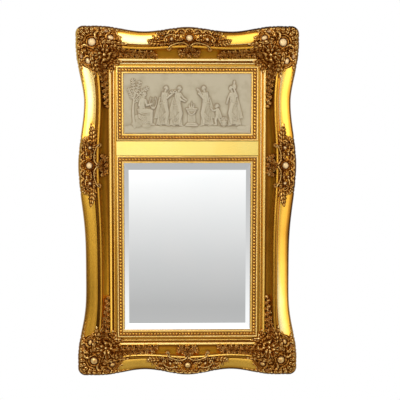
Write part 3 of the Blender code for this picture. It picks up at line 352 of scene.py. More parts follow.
class Relief:
    """A height field over the points (x, y), in shares of the carving's depth, with the share
    of pale cream at each point, a painted sheen for the burnished cabochons."""

    def __init__(self, x, y):
        self.x = x
        self.y = y
        self.height = np.full(x.shape, NOTHING)
        self.pale = np.zeros(x.shape)

    def seen(self, x, y):
        """The same drawing, with its points measured in another way."""
        other = type(self)(x, y)
        other.height, other.pale = self.height, self.pale
        return other

    def add(self, low, high, form, pale=0.0):
        """Raises the field to a form, worked out only inside the box from low to high."""
        x, y = self.x, self.y
        close = (x > low[0]) & (x < high[0]) & (y > low[1]) & (y < high[1])
        if close.any():
            raised = form(x[close], y[close])
            wins = raised > self.height[close]
            self.height[close] = np.where(wins, raised, self.height[close])
            self.pale[close] = np.where(wins, pale, self.pale[close])

    def join(self, other):
        wins = other.height > self.height
        self.height = np.where(wins, other.height, self.height)
        self.pale = np.where(wins, other.pale, self.pale)

    def ground(self, inside, height):
        """A low ground under a group of forms."""
        self.height = np.where(inside, np.maximum(self.height, height), self.height)

    def round(self, cx, cy, reach, form):
        def polar_form(x, y):
            return form(np.hypot(x - cx, y - cy), np.degrees(np.arctan2(y - cy, x - cx)))
        self.add((cx - reach, cy - reach), (cx + reach, cy + reach), polar_form)

    def strip(self, line, reach, form):
        spine = spine_of(line)

        def strip_form(x, y):
            return form(*along(x, y, spine))
        self.add(spine.min(axis=0) - reach, spine.max(axis=0) + reach, strip_form)

    def dome(self, cx, cy, rx, ry, height, pale=0.0):
        """A dome; a pale one is a cabochon, flatter on its top, with a painted sheen of cream."""
        power = 0.5 - 0.22 * pale

        def form(x, y):
            rest = 1 - ((x - cx) / rx) ** 2 - ((y - cy) / ry) ** 2
            return np.where(rest > 0, height * np.clip(rest, 0, None) ** power, NOTHING)
        self.add((cx - rx, cy - ry), (cx + rx, cy + ry), form, pale)

    def ridge(self, line, width, height, taper=0.5, groove=0.3):
        """A rounded roll along the line, thinner towards its end, with a groove on its crest."""
        def form(share, side):
            half = width * (1 - taper * share)
            rest = np.clip(1 - (side / half) ** 2, 0, None)
            crest = 1 - groove * np.exp(-(side / (0.28 * half)) ** 2)
            return np.where(rest > 0, height * np.sqrt(rest) * crest, NOTHING)
        self.strip(line, width, form)

    def leaf(self, line, width, height, lobes):
        """A lobed acanthus leaf: a vein down its middle, a fold and a notch for each lobe."""
        def form(share, side):
            body = np.sin(pi * np.clip(share, 0.02, 1) ** 0.72) ** 0.75
            beside = np.abs(side) / width
            phase = lobes * share - beside * 0.62
            lobe = np.abs(np.sin(pi * phase)) ** 0.8
            half = width * body * (0.66 + 0.38 * lobe) + 1e-6
            across = np.abs(side) / half
            rest = (1 - across ** 2.2) * (0.5 + 0.5 * body)
            vein = 1 - 0.30 * np.exp(-(side / (0.13 * width)) ** 2)
            ribs = 1 - 0.16 * np.cos(2 * pi * 3 * phase) * unit(across * 1.6)
            rise = (0.22 + 0.78 * rest) * (0.68 + 0.32 * lobe) * vein * ribs
            return np.where(across < 1, height * rise * 1.06, NOTHING)
        self.strip(line, width * 1.05, form)

    def rosette(self, cx, cy, inner, outer, petals, height):
        """A ring of scooped petals."""
        def form(radius, angle):
            wave = np.abs(np.cos(np.radians(angle * petals / 2)))
            edge = inner + (outer - inner) * (0.55 + 0.45 * wave ** 0.7)
            share = (radius - inner) / (edge - inner)
            inside = (share > 0) & (share < 1)
            body = (0.45 + 0.55 * share) * np.sqrt(unit(1 - share ** 8))
            side = unit(wave / 0.45)
            scoop = 1 - 0.50 * np.clip((wave - 0.45) / 0.55, 0, 1) * unit(1.5 - share)
            return np.where(inside, height * body * side * scoop, NOTHING)
        self.round(cx, cy, outer, form)

    def fan(self, cx, cy, inner, outer, middle, spread, ribs, height):
        """A shell of ribs that spread from a hub about the direction `middle`, in degrees."""
        def form(radius, angle):
            turn = (angle - middle + 180) % 360 - 180
            wave = np.abs(np.cos(np.radians(turn / spread * 90 * ribs)))
            edge = outer * (1 - 0.16 * (turn / spread) ** 2) * (0.86 + 0.14 * wave)
            share = (radius - inner) / (edge - inner)
            inside = (share > 0) & (share < 1) & (np.abs(turn) < spread)
            body = (0.42 + 0.58 * share) * np.sqrt(unit(1 - share ** 7))
            step = 1 - 0.10 * np.cos(2 * pi * 2.5 * share)
            return np.where(inside, height * body * step * (0.36 + 0.64 * wave), NOTHING)
        self.round(cx, cy, outer, form)


# Ornament. Its layout is drawn in millimetres, at full size.

def ray(cx, cy, angle, near, far):
    """The line between two distances from a point, in one direction."""
    turn = radians(angle)
    return [(cx + reach * cos(turn), cy + reach * sin(turn)) for reach in (near, far)]


def scroll_ground(r, low, high, inside, height):
    """Small spiral scrolls, close together, that fill the ground between the main forms."""
    pitch, radius = 15.5, 7.6
    for row in range(round((high[1] - low[1]) / pitch) + 1):
        for step in range(round((high[0] - low[0]) / pitch) + 1):
            cx = low[0] + pitch * (step + 0.5 * (row % 2))
            cy = low[1] + pitch * 0.9 * row
            if not inside(cx, cy):
                continue
            first = 97 * (step + 2 * row)
            turn = 430 if (step + row) % 2 == 0 else -430
            r.ridge(arc(cx, cy, radius, first, first + turn, 18, 0.22), 2.3, height, 0.25, 0.0)
            r.leaf(ray(cx, cy, first, 6, 14), 3.6, height, 2)


def corner_relief(p, q):
    """Corner boss, shell and leaves; p and q run inward from the frame's outer corner."""
    r = Relief(p, q)
    boss, shell = 48, 82
    lobes = 5 * np.abs(np.sin(5 * np.arctan2(q - 64, p - 64)))
    at_tip = (p < 62) & (q < 62)
    r.ground(at_tip | (np.hypot(p - 62, q - 62) < 60 + lobes), 0.10)
    scroll_ground(r, (9, 9), (118, 118), lambda x, y: hypot(x - 58, y - 58) < 68, 0.40)
    r.ridge(((34, 1.5), (4, 4), (1.5, 34)), 4.5, 0.30, 0.0, 0.0)
    r.ridge(arc(boss, boss, 15.0, 70, 385, 30), 3.0, 0.6, 0.1)
    r.ridge(arc(boss, boss, 22.5, 150, 300, 20), 3.0, 0.62, 0.3)
    r.ridge(arc(boss, boss, 30, 165, 285, 20), 2.8, 0.5, 0.3)
    r.dome(boss, boss, 10.5, 10.5, 1.3, 1.0)
    r.rosette(shell, shell, 27, 42, 11, 0.70)
    r.rosette(shell, shell, 16, 30, 9, 0.88)
    r.fan(shell, shell, 5, 19, 45, 178, 7, 1.0)
    r.dome(shell, shell, 5.5, 5.5, 0.9)
    r.leaf(((100, 100), (114, 114), (134, 134)), 10, 0.9, 4)
    for index in range(9):
        turn = radians(225 + (index - 4) * 23)
        across, up = cos(turn), sin(turn)
        reach = min(44 / max(abs(across), abs(up)), 53)
        root = (boss + 24 * across, boss + 24 * up)
        r.leaf((root, (46 + reach * across, 46 + reach * up)), 8, 0.7, 3)
    for half in (r, r.seen(q, p)):
        half.leaf(((96, 62), (118, 58), (150, 80)), 11, 1.0, 5)
        half.leaf(((72, 50), (98, 42), (124, 58)), 8, 0.85, 4)
        half.leaf(((94, 92), (112, 106), (132, 98)), 9, 0.8, 4)
        half.leaf(((104, 98), (118, 112), (128, 126)), 6, 0.7, 3)
        half.ridge(arc(66, 27, 12, 120, 420, 20, 0.4), 3.2, 0.85, 0.4)
        half.ridge(arc(106, 84, 12, 150, 400, 20, 0.4), 3.2, 0.9, 0.4)
    return r


def arm_relief(a, v):
    """Ornament along a rail from its corner: a from the corner, v from the edge inward."""
    r = Relief(a, v)
    end = 97 + 0.85 * np.clip(v - 12, 0, 34) + 14 * np.clip((10 - v) / 6, 0, 1)
    r.ground((a > 50) & (a < end) & (v < 56) & (v > 2), 0.08)
    r.ridge(((20, 1.5), (185, 1.5)), 3.4, 0.26, 0.2, 0.0)
    for start in (54, 76, 98):
        r.ridge(((start, 13), (start + 9.45, -4), (start + 21, 10)), 3.6, 0.6, 0.3)
        r.dome(start + 19.32, 9.5, 3.8, 3.8, 0.8)
        r.leaf(((start + 3, 14), (start + 9, 8), (start + 21, 14)), 4.0, 0.5, 3)
    r.ground((a > 105) & (a < 170) & (v > 1.5) & (v < 6.5 - 0.06 * (a - 105)), 0.05)
    for index in range(5):
        start = 112 + 12 * index
        size = 1 - 0.11 * index
        r.leaf(((start, 3), (start + 8, 1 + 6 * size), (start + 18, 2)), 6.0 * size, 0.45, 3)
    r.dome(84, 14, 10, 5.4, 0.42, 0.40)
    r.ridge(arc(84, 15, 13, 10, 170, 14), 2.4, 0.55, 0.2)
    r.dome(100, 32, 8.2, 5.8, 0.75, 0.8)
    r.ridge(arc(99, 32, 12.0, -70, 250, 24), 2.8, 0.6, 0.2)
    r.leaf(((70, 36), (84, 42), (100, 47)), 6, 0.75, 3)
    r.leaf(((68, 24), (74, 30), (84, 30)), 5, 0.6, 3)
    r.ridge(((96, 12), (114, 20), (124, 42)), 3.2, 0.6, 0.3)
    r.leaf(((102, 45), (126, 48), (148, 40)), 8.0, 0.7, 4)
    r.leaf(((108, 30), (118, 34), (130, 34)), 4.5, 0.55, 2)
    r.dome(98, 14, 3.8, 3.8, 0.7)
    r.dome(112, 51, 5.2, 5.2, 0.95)
    return r


def leaf_clump(r, cx, cy, reach, height, first):
    """Small leaves that curl out from one point, round a bud."""
    for index in range(6):
        turn = radians(first + 60 * index)
        bend = (cx + 0.7 * reach * cos(turn - 0.5), cy + 0.7 * reach * sin(turn - 0.5))
        tip = (cx + reach * cos(turn), cy + reach * sin(turn))
        r.leaf(curve((cx, cy), bend, tip, 7), 0.42 * reach, height, 3)
    r.dome(cx, cy, 0.24 * reach, 0.24 * reach, height * 1.1)


def trail_relief(a, w, tip_size):
    """The cove's leaf trail: a from the corner, w from the cove's foot outward. Its last
    leaves reach as far as `tip_size`."""
    r = Relief(a, w)
    stem = curve((104, 14), (160, tip_size), (231 - tip_size, 0.75 * tip_size), 16)
    r.ridge(stem, 0.8 * tip_size, 0.14, 0.2, 0.0)
    for place in range(1, 16):
        cx, cy = stem[place]
        size = 10.5 + (tip_size - 10.5) * place / 15
        side = 1 if place % 2 == 0 else -1
        leaf_clump(r, cx, cy + 0.35 * size * side, size, 0.85, 47 * place)
    return r


def centre_relief(s, v, reach):
    """Cartouche at the middle of a rail: s along the rail, v from the outer edge inward. Its
    body ends at `reach` along the rail, where a long leaf goes on."""
    s = np.abs(s)
    r = Relief(s, v)
    taper = 2 + 0.5 * np.clip(s - reach + 12, 0, None)
    r.ground((s < reach) & (v < 52 - 0.12 * s) & (v > taper), 0.08)
    r.ridge(((0, 1.5), (reach + 4, 1.5)), 3.4, 0.30, 0.3, 0.0)
    scroll_ground(r, (8, 10), (reach, 50), lambda x, y: 9 < y < 48 - 0.12 * x, 0.38)
    r.ridge(arc(0, 33, 11.2, 0, 360, 30), 2.3, 0.4, 0.0)
    r.dome(0, 33, 8.8, 8.2, 1.3, 1.0)
    r.dome(32, 24, 4.4, 3.4, 0.8, 0.2)
    r.dome(50, 32, 4.4, 4.8, 1.0, 0.6)
    r.ridge(curve((38, 24), (50, 14), (68, 24), 14), 2.6, 0.75, 0.3)
    r.ridge(arc(66, 32, 6.0, -80, 230, 18, 0.4), 2.4, 0.7, 0.2)
    for middle in (0, 24, 50):
        r.ridge(arc(middle, 19, 12, 200, 340), 3.2, 0.7, 0.0)
        r.fan(middle, 20, 3, 11, 270, 75, 3, 0.6)
    for line, width in (
        (((10, 44), (22, 52), (38, 45)), 6), (((12, 22), (20, 14), (32, 16)), 4.5),
        (((16, 34), (28, 40), (43, 34)), 6), (((40, 42), (52, 49), (66, 41)), 6),
        (((reach - 20, 42), (reach - 8, 46), (reach + 4, 38)), 6),
        (((reach - 18, 16), (reach - 8, 10), (reach + 6, 15)), 5),
        (((reach - 14, 28), (reach - 4, 22), (reach + 8, 26)), 5),
    ):
        r.leaf(line, width, 0.85, 4)
    r.leaf(((reach - 6, 37), (reach + 24, 36), (117, 25)), 11, 0.65, 5)
    bracket = [curve((4, 55), (10, 46), (26, 46), 8), curve((28, 46), (48, 46), (58, 55), 8)]
    r.ridge(np.concatenate(bracket), 2.6, 0.9, 0.0, 0.0)
    r.ridge(arc(56, 56, 5.6, 20, 300, 14, 0.5), 2.4, 0.8, 0.2)
    for cx, cy, size, first in ((19, 75, 11, 20), (7, 67, 10, 50), (0, 80, 8, 0), (27, 68, 6, 40)):
        leaf_clump(r, cx, cy, size, 0.95, first)
    r.leaf(((0, 48), (0, 70)), 7, 0.95, 3)
    return r


# Swept frame

def swell(place, waist, peak, amount, sharpness):
    share = np.clip((place - waist) / (peak - waist), 0, 1)
    return amount * (0.5 - 0.5 * np.cos(pi * share)) ** sharpness


def side_sway(z):
    """How far a side rail's outline stands out beyond its waist, at height z."""
    upper = swell(z, UPPER_WAIST_Z, OUT_TOP - UPPER_PEAK_IN, SIDE_CORNER_SWELL, UPPER_SHARPNESS)
    lower = swell(z, LOWER_WAIST_Z, LOWER_PEAK_IN - OUT_BOTTOM,
                  SIDE_CORNER_SWELL + LOWER_WAIST_IN, LOWER_CORNER_SHARPNESS)
    above = swell(z, UPPER_WAIST_Z, SIDE_CENTRE_Z, SIDE_CENTRE_SWELL, 1.0)
    below = swell(z, LOWER_WAIST_Z, SIDE_CENTRE_Z, SIDE_CENTRE_SWELL + LOWER_WAIST_IN,
                  LOWER_CENTRE_SHARPNESS)
    under = np.where(z < LOWER_WAIST_Z, lower, below) - LOWER_WAIST_IN
    over = np.where(z > UPPER_WAIST_Z, upper, above)
    return np.where(z > SIDE_CENTRE_Z, over, under)


def end_sway(x, corner_swell, centre_swell):
    """The same for the top or bottom rail, at distance x from the middle."""
    across = np.abs(x)
    corner = swell(across, END_WAIST_X, OUT_X - END_PEAK_IN, corner_swell, 1.0)
    middle = swell(across, END_WAIST_X, 0.0, centre_swell, 1.0)
    return np.where(across > END_WAIST_X, corner, middle)


def half_round(edge, width, base, rise):
    """Points over a rounded moulding, as angle, offset and height."""
    for turn in range(160, 10, -20):
        angle = radians(turn)
        yield turn, edge + width / 2 * (1 + cos(angle)), base + rise * sin(angle)


def moulding(side):
    """The front section as (offset, height, share of the outline's sway, tone). The tones paint light
    and shade, rail by rail.
    """
    fillet_tone, cove_tone = FILLET_TONES[side], COVE_TONES[side]
    edge = LIP_OFFSET
    yield edge, STRIP_HEIGHT, 0, STRIP_TONE
    edge += STRIP_WIDTH
    yield edge, STRIP_HEIGHT, 0, STRIP_TONE
    inset = 0.03 * ASTRAGAL_WIDTH
    rise = ASTRAGAL_HEIGHT - STRIP_HEIGHT
    for turn, x, height in half_round(edge + inset, ASTRAGAL_WIDTH - 2 * inset, STRIP_HEIGHT, rise):
        yield x, height, 0, ASTRAGAL_TONES[side] if turn > 30 else ASTRAGAL_FOOT_TONE
    edge += ASTRAGAL_WIDTH
    for share in (0.2, 0.85):
        yield edge + QUIRK_WIDTH * share, QUIRK_HEIGHT, 0, QUIRK_TONES[side]
    edge += QUIRK_WIDTH
    cove_foot = FILLET_HEIGHT - FILLET_SLOPE
    yield edge, cove_foot, 0, fillet_tone
    # The fillet's outer part takes the cove's tone: a painted shade line at the cove's foot.
    for share, tone in ((0.55, fillet_tone), (0.65, cove_tone), (0.92, cove_tone)):
        yield edge + FILLET_WIDTH * share, FILLET_HEIGHT, 0, tone
    edge += FILLET_WIDTH
    for step in range(15):
        turn = radians(90 * step / 14)
        across = sin(turn)
        height = cove_foot + (RIB_HEIGHT - RIB_ROUND - cove_foot) * (1 - cos(turn))
        lean = across ** 1.5
        tone = cove_tone + COVE_RISES[side] * lean
        yield edge + COVE_WIDTH * across, height, RIB_SWAY * lean, tone
    edge += COVE_WIDTH
    for turn, x, height in half_round(edge, RIB_WIDTH, RIB_HEIGHT - RIB_ROUND, RIB_ROUND):
        yield x, height, RIB_SWAY, RIB_TONES[side] if turn > 90 else RIB_BACK_TONE
    edge += RIB_WIDTH
    for share in (0.15, 0.75):
        yield edge + GROOVE_WIDTH * share, GROOVE_HEIGHT, GROOVE_SWAY, GROOVE_TONES[side]
    edge += GROOVE_WIDTH
    for step in range(9):
        share = step / 8
        height = BAND_INNER_HEIGHT - (BAND_INNER_HEIGHT - BAND_OUTER_HEIGHT) * share ** 1.6
        sway = BAND_SWAY + (1 - BAND_SWAY) * share
        change = BAND_OUTER_TONES[side] - BAND_INNER_TONES[side]
        tone = BAND_INNER_TONES[side] + change * share ** 0.6
        # Painted shade on the band's outermost steps.
        tone *= (1.0, RIM_SHADES[side], 0.8 * RIM_SHADES[side])[max(0, step - 6)]
        yield edge + BAND_WIDTH * share, height, sway, tone
    edge += BAND_WIDTH
    for turn in range(12, 91, 13):
        x = edge + EDGE_WIDTH * sin(radians(turn))
        drop = (BAND_OUTER_HEIGHT - EDGE_HEIGHT) * (1 - cos(radians(turn)))
        yield x, BAND_OUTER_HEIGHT - drop, 1, EDGE_TONES[side]


def refined(points, pitch):
    """The section with further points, so that none of its steps is longer than pitch."""
    fine = [points[0]]
    for first, last in zip(points, points[1:]):
        steps = max(1, ceil(dist(first[:2], last[:2]) / pitch))
        fine += np.linspace(first, last, steps + 1)[1:].tolist()
    return np.array(fine)


def soft_height(offset):
    """The surface that the ornament lies on: the section with its small steps filled."""
    rib = COVE_START + COVE_WIDTH
    shoulder = RIB_HEIGHT - RIB_ROUND
    cove_height = FILLET_HEIGHT + (RIB_HEIGHT - FILLET_HEIGHT) * 0.3
    return np.interp(offset, *zip(
        (LIP_OFFSET, STRIP_HEIGHT), (COVE_START - FILLET_WIDTH, FILLET_HEIGHT - 2 * FILLET_SLOPE),
        (COVE_START, FILLET_HEIGHT), (COVE_START + COVE_WIDTH * 0.6, cove_height),
        (rib, shoulder), (rib + RIB_WIDTH, shoulder), (BAND_START, BAND_INNER_HEIGHT),
        (BAND_START + BAND_WIDTH, BAND_OUTER_HEIGHT), (OUTLINE_OFFSET, EDGE_HEIGHT)))


# Each rail's name, distance of its sight edge from the centre, further width, and swells
RAILS = (
    ("frame_right_rail", HALF_SIGHT, 0.0, SIDE_CORNER_SWELL, SIDE_CENTRE_SWELL),
    ("frame_top_rail", HALF_STACK, TOP_RAIL_EXTRA, TOP_CORNER_SWELL, TOP_CENTRE_SWELL),
    ("frame_left_rail", HALF_SIGHT, 0.0, SIDE_CORNER_SWELL, SIDE_CENTRE_SWELL),
    ("frame_bottom_rail", HALF_STACK, 0.0, BOTTOM_CORNER_SWELL, BOTTOM_CENTRE_SWELL),
)


def placed(side, a, outward):
    """Place along and outward of a rail, as x and z."""
    return ((outward, a), (-a, outward), (-outward, -a), (a, -outward))[side]


def from_corner(x, z):
    """Distances across and down from the nearest outer corner of the frame."""
    return OUT_X - np.abs(x), np.where(z > 0, OUT_TOP, OUT_BOTTOM) - np.abs(z)


def rounded_corner(x, z):
    """Bends the mitred corner of the section's lines into a round one."""
    across, up = (CORNER_RADIUS - inward for inward in from_corner(x, z))
    shrink = np.maximum(across, up) / np.maximum(np.hypot(across, up), 1e-9)
    pull = np.where((across > 0) & (up > 0), 1 - shrink, 0)
    return x - np.sign(x) * across * pull, z - np.sign(z) * up * pull


def station_places(side, first, last):
    """Places along a rail's outer line: close together where it is carved."""
    centre = (SIDE_CENTRE_Z, 0.0, -SIDE_CENTRE_Z, 0.0)[side]
    places = [first]
    while places[-1] < last:
        here = places[-1]
        corner = min(here - first, last - here)
        pitch = TRAIL_PITCH if corner < TRAIL_REACH else PLAIN_PITCH
        if corner < CORNER_REACH or abs(here - centre) < CENTRE_REACH:
            pitch = CARVED_PITCH
        places.append(here + pitch)
    places = np.array(places)
    return (places - first) / (places[-1] - first)


def rail_grid(side, lines):
    """Points of one rail from its first mitre to its last, for every line of the section."""
    _, base, extra, corner_swell, centre_swell = RAILS[side]
    offset, share = lines[:, 0][None, :], lines[:, 2][None, :]
    reaches = []
    for neighbour in (RAILS[side - 1], RAILS[(side + 1) % 4]):
        reaches.append(neighbour[1] + offset + share * (neighbour[2] + neighbour[3]))
    start, end = -reaches[0], reaches[1]
    run = station_places(side, start.min(), end.max())[:, None]
    a = start + (end - start) * run
    x, z = placed(side, a, a * 0)
    outline = extra + (side_sway(z) if side % 2 == 0 else end_sway(x, corner_swell, centre_swell))
    outward = base + offset + share * outline
    x, z = placed(side, a, outward)
    return x, z, base + OUTLINE_OFFSET + outline - outward, outward - base - COVE_START


def lobed_edge(x, z, side, inward):
    """Pulls the outline in between the small leaves that edge the corners and centres."""
    corner = from_corner(x, z)[1 - side % 2]
    centre = np.abs(z - SIDE_CENTRE_Z) if side % 2 == 0 else np.abs(x)
    notch = np.zeros(x.shape)
    for place, reach in ((corner, CORNER_LOBES), (centre, CENTRE_LOBES)):
        lobes = 1 - np.abs(np.sin(pi * place / LOBE_LENGTH))
        long_lobes = 0.6 + 0.4 * np.cos(2 * pi * place / (3.3 * LOBE_LENGTH))
        fade = np.clip(np.minimum((reach - place) / LOBE_LENGTH, place / LOBE_LENGTH - 1), 0, 1)
        notch = np.maximum(notch, LOBE_NOTCH * fade * long_lobes * lobes ** 0.8)
    pull = notch * unit(1 - inward / LOBE_EDGE)
    toward_x, toward_z = placed(side, 0.0, -pull)
    return x + toward_x, z + toward_z


def carving(x, z, side, inward, above_cove):
    """Height of the ornament over the frame's points, as a share of the carving depth, and
    where it is pale with painted sheen."""
    p, q = (distance * MM for distance in from_corner(x, z))
    relief = corner_relief(p, q)
    relief.join(arm_relief((q, p)[side % 2], inward * MM))
    relief.join(trail_relief((q, p)[side % 2], above_cove * MM, TRAIL_TIPS[side]))
    middle = z - SIDE_CENTRE_Z if side % 2 == 0 else x - TOP_CENTRE_X * (side == 1)
    relief.join(centre_relief(middle * MM, inward * MM, CENTRE_BODIES[side]))
    clear = above_cove > LIP_OFFSET + CARVING_MARGIN - COVE_START
    # Less painted sheen on the cabochons low on the frame.
    pale = relief.pale * np.where(z > LOW_CABOCHONS_Z, 1.0, LOW_CABOCHONS)
    return np.where(clear, relief.height, NOTHING), pale


def shell_mound(x, z):
    """Extra height under each corner's shell, where it bridges the corner of the cove."""
    away = np.hypot(*(distance - SHELL_MOUND_PLACE for distance in from_corner(x, z)))
    return SHELL_MOUND_RISE * np.exp(-(away / SHELL_MOUND_REACH) ** 2)


def plain_tone(side, front, hollow, along_rail, z):
    """Tone of the plain mouldings, with painted light and shade that drift along the rails and
    brighten higher up.
    """
    offset = front[:, 0]
    tone = front[:, 3] + PLAIN_HOLLOWS * np.minimum(hollow - MID_TONE, 0) + PAINTED_LIGHT_RISE * z
    in_cove = (offset > COVE_START) & (offset < COVE_START + COVE_WIDTH)
    for painted_light, where in ((BAND_PAINTED_LIGHT, offset > BAND_START), (COVE_PAINTED_LIGHT, in_cove)):
        tone = tone + np.interp(along_rail, *np.array(painted_light[side]).T) * where
    return tone


def frame_rail(side, finish):
    front = refined(list(moulding(side)), ACROSS_PITCH)
    back = np.array([
        (OUTLINE_OFFSET - SIDE_UNDERCUT, 0.0, 1.0, 0.0),
        (REBATE_OFFSET, 0.0, 0.0, 0.0),
        (REBATE_OFFSET, LIP_BACK_HEIGHT, 0.0, 0.0),
        (LIP_OFFSET, LIP_BACK_HEIGHT, 0.0, 0.0),
    ])
    lines = np.concatenate([front, back])
    x, z, inward, above_cove = rail_grid(side, lines)
    shown = (slice(None), slice(0, len(front)))
    front_x, front_z = x[shown], z[shown]
    relief, paleness = carving(front_x, front_z, side, inward[shown], above_cove[shown])
    raised = soft_height(front[:, 0]) + shell_mound(front_x, front_z) + relief * CARVING_DEPTH
    carved = (relief > 0) & (raised > front[:, 1])
    height = np.broadcast_to(lines[:, 1], x.shape).copy()
    height[shown] = np.where(carved, raised, height[shown])
    hollow = hollow_tone(height[shown])
    along_rail = front_z if side % 2 == 0 else front_x
    middle = np.abs(along_rail - SIDE_CENTRE_Z * (side % 2 == 0))
    # Painted shade over the centre carving, painted light on the bottom rail.
    shade = CENTRE_SHADES[side] * np.clip((CENTRE_REACH - middle) / LOBE_EDGE, 0, 1)
    plain = plain_tone(side, front, hollow, along_rail, front_z)
    foot = (lines[:, 0] - COVE_START) / COVE_WIDTH
    satin = unit(6 * np.minimum(foot, 1 - foot) + 0.3)
    values = {}
    for name, on_front, behind in (
        ("tone", np.where(carved, hollow - shade, plain), 0.0),
        ("burnish", np.where(carved, 0.0, 1.0), 1.0),
        ("pale", np.where(carved, paleness, 0.0), 0.0),
        ("bare", 0.0, 1.0),
    ):
        values[name] = np.full(x.shape, behind)
        values[name][shown] = on_front
    values["satin"] = np.broadcast_to(satin, x.shape)
    x, z = rounded_corner(*lobed_edge(x, z, side, inward))
    index = np.arange(x.size).reshape(x.shape)
    looped = np.concatenate([index, index[:, :1]], axis=1)
    faces = grid_faces(looped)[:, ::-1].tolist()
    faces += [index[0, ::-1].tolist(), index[-1].tolist()]
    points = world(x, height, z).reshape(-1, 3).tolist()
    made = add_mesh(RAILS[side][0], points, faces, finish, sharp_angle=50)
    for name in values:
        point_values(made, name, values[name])
    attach(made, "root")
    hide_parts("swept_frame")


# Slips: a mitred section with a row of round beads

def slip_section():
    """The slip's whole section as (offset, height, tone), from its sight edge round."""
    inner = SIGHT_FILLET_WIDTH
    outer = inner + 2 * CHAMFER + BEAD_ROW_WIDTH
    turned_down = SIGHT_FILLET_HEIGHT - CHAMFER * 0.3
    # The tones paint shade on the sight fillet's turned-down sides.
    points = [
        (0.0, LIP_BACK_HEIGHT, 0.5),
        (0.0, SIGHT_FILLET_HEIGHT - CHAMFER, 0.7),
        (CHAMFER * 0.3, turned_down, 0.8),
        (CHAMFER, SIGHT_FILLET_HEIGHT, 0.85),
        (inner - CHAMFER * 0.3, SIGHT_FILLET_HEIGHT, 0.85),
        (inner, turned_down, 0.5),
        (inner + CHAMFER, BEAD_ROW_FLOOR, HOLLOW_TONE),
        (outer - CHAMFER, BEAD_ROW_FLOOR, HOLLOW_TONE),
    ]
    for turn in range(180, -1, -20):
        x = (outer + SLIP_WIDTH) / 2 + (SLIP_WIDTH - outer) / 2 * cos(radians(turn))
        rise = 2 * CHAMFER * (sin(radians(turn)) - 1)
        tone = float(np.interp(turn, (0, 30, 75), RIM_TONES))
        points.append((x, SLIP_RIM_HEIGHT + rise, tone))
    for x, height in (
        (SLIP_WIDTH, LIP_BACK_HEIGHT - GAP), (SLIP_WIDTH + SLIP_FLANGE, LIP_BACK_HEIGHT - GAP),
        (SLIP_WIDTH + SLIP_FLANGE, PLATE_BACK), (LAP + FIT_CLEARANCE, PLATE_BACK),
        (LAP + FIT_CLEARANCE, LIP_BACK_HEIGHT),
    ):
        points.append((x, height, HOLLOW_TONE))
    return np.array(points)


def bead_form():
    """A closed bead's points, as shares of its half length, height and half width, its faces,
    and how far up each point is."""
    points, faces, ups = [], [list(range(BEAD_SIDES))], []
    for ring in range(BEAD_RINGS):
        rise = radians(90 * ring / BEAD_RINGS - 12)
        for turn in range(BEAD_SIDES):
            angle = 2 * pi * turn / BEAD_SIDES
            around = (cos(rise) * cos(angle), cos(rise) * sin(angle))
            points.append((around[0], sin(rise), around[1]))
            ups.append(ring / BEAD_RINGS)
            first, ahead = ring * BEAD_SIDES, (turn + 1) % BEAD_SIDES
            if ring < BEAD_RINGS - 1:
                above = first + BEAD_SIDES
                faces.append([first + ahead, first + turn, above + turn, above + ahead])
            else:
                faces.append([first + ahead, first + turn, BEAD_RINGS * BEAD_SIDES])
    return np.array(points + [(0.0, 1.0, 0.0)]), faces, np.array(ups + [1.0])


def beaded_slip(name, node, sight_height, centre_z, finish):
    section = slip_section()
    corners = np.array([(1, -1), (1, 1), (-1, 1), (-1, -1)])
    offset = section[:, 0][None, :]
    x = corners[:, :1] * (HALF_SIGHT + offset)
    z = corners[:, 1:] * (sight_height / 2 + offset) + centre_z
    height = np.broadcast_to(section[:, 1], x.shape)
    index = np.arange(x.size).reshape(x.shape)
    looped = np.concatenate([index, index[:1]], axis=0)
    looped = np.concatenate([looped, looped[:, :1]], axis=1)
    faces = grid_faces(looped)[:, ::-1].tolist()
    points = np.stack([x, height, z], axis=-1).reshape(-1, 3).tolist()
    tones = np.broadcast_to(section[:, 2], x.shape).ravel().tolist()
    form, form_faces, ups = bead_form()
    row = SIGHT_FILLET_WIDTH + CHAMFER + BEAD_ROW_WIDTH / 2
    half = (HALF_SIGHT + row, sight_height / 2 + row)
    for axis in (0, 1):
        count = round(2 * half[axis] / BEAD_PITCH)
        pitch = 2 * half[axis] / count
        rise = BEAD_HEIGHT - BEAD_ROW_FLOOR
        bead = form * (pitch * BEAD_HALF_LENGTH, rise, BEAD_ROW_WIDTH * BEAD_HALF_WIDTH)
        if axis == 1:
            bead = bead[:, ::-1] * (-1, 1, 1)
        for sign in (-1, 1):
            # Painted shade at each bead's foot and painted highlight on its top.
            low, high = BEAD_TONES[axis]
            if sign > 0 and axis == 0 and centre_z > 0:
                low, high = PLAQUE_TOP_BEAD_TONES
            for step in range(axis, count + 1 - axis):
                run = -half[axis] + pitch * step
                beside = sign * half[1 - axis]
                spot = (run, beside + centre_z) if axis == 0 else (beside, run + centre_z)
                faces += [[len(points) + v for v in face] for face in form_faces]
                points += (bead + (spot[0], BEAD_ROW_FLOOR, spot[1])).tolist()
                tones += (low + (high - low) * ups).tolist()
    points = world(*np.array(points).T).tolist()
    made = add_mesh(name, points, faces, finish, sharp_angle=40)
    point_values(made, "tone", tones)
    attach(made, "root")
    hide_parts(node)


# Relief plaque. Its scene is drawn in millimetres from the plaque's centre. Figures are made
# of rounded limbs and pleated cloth, each measured from its feet.


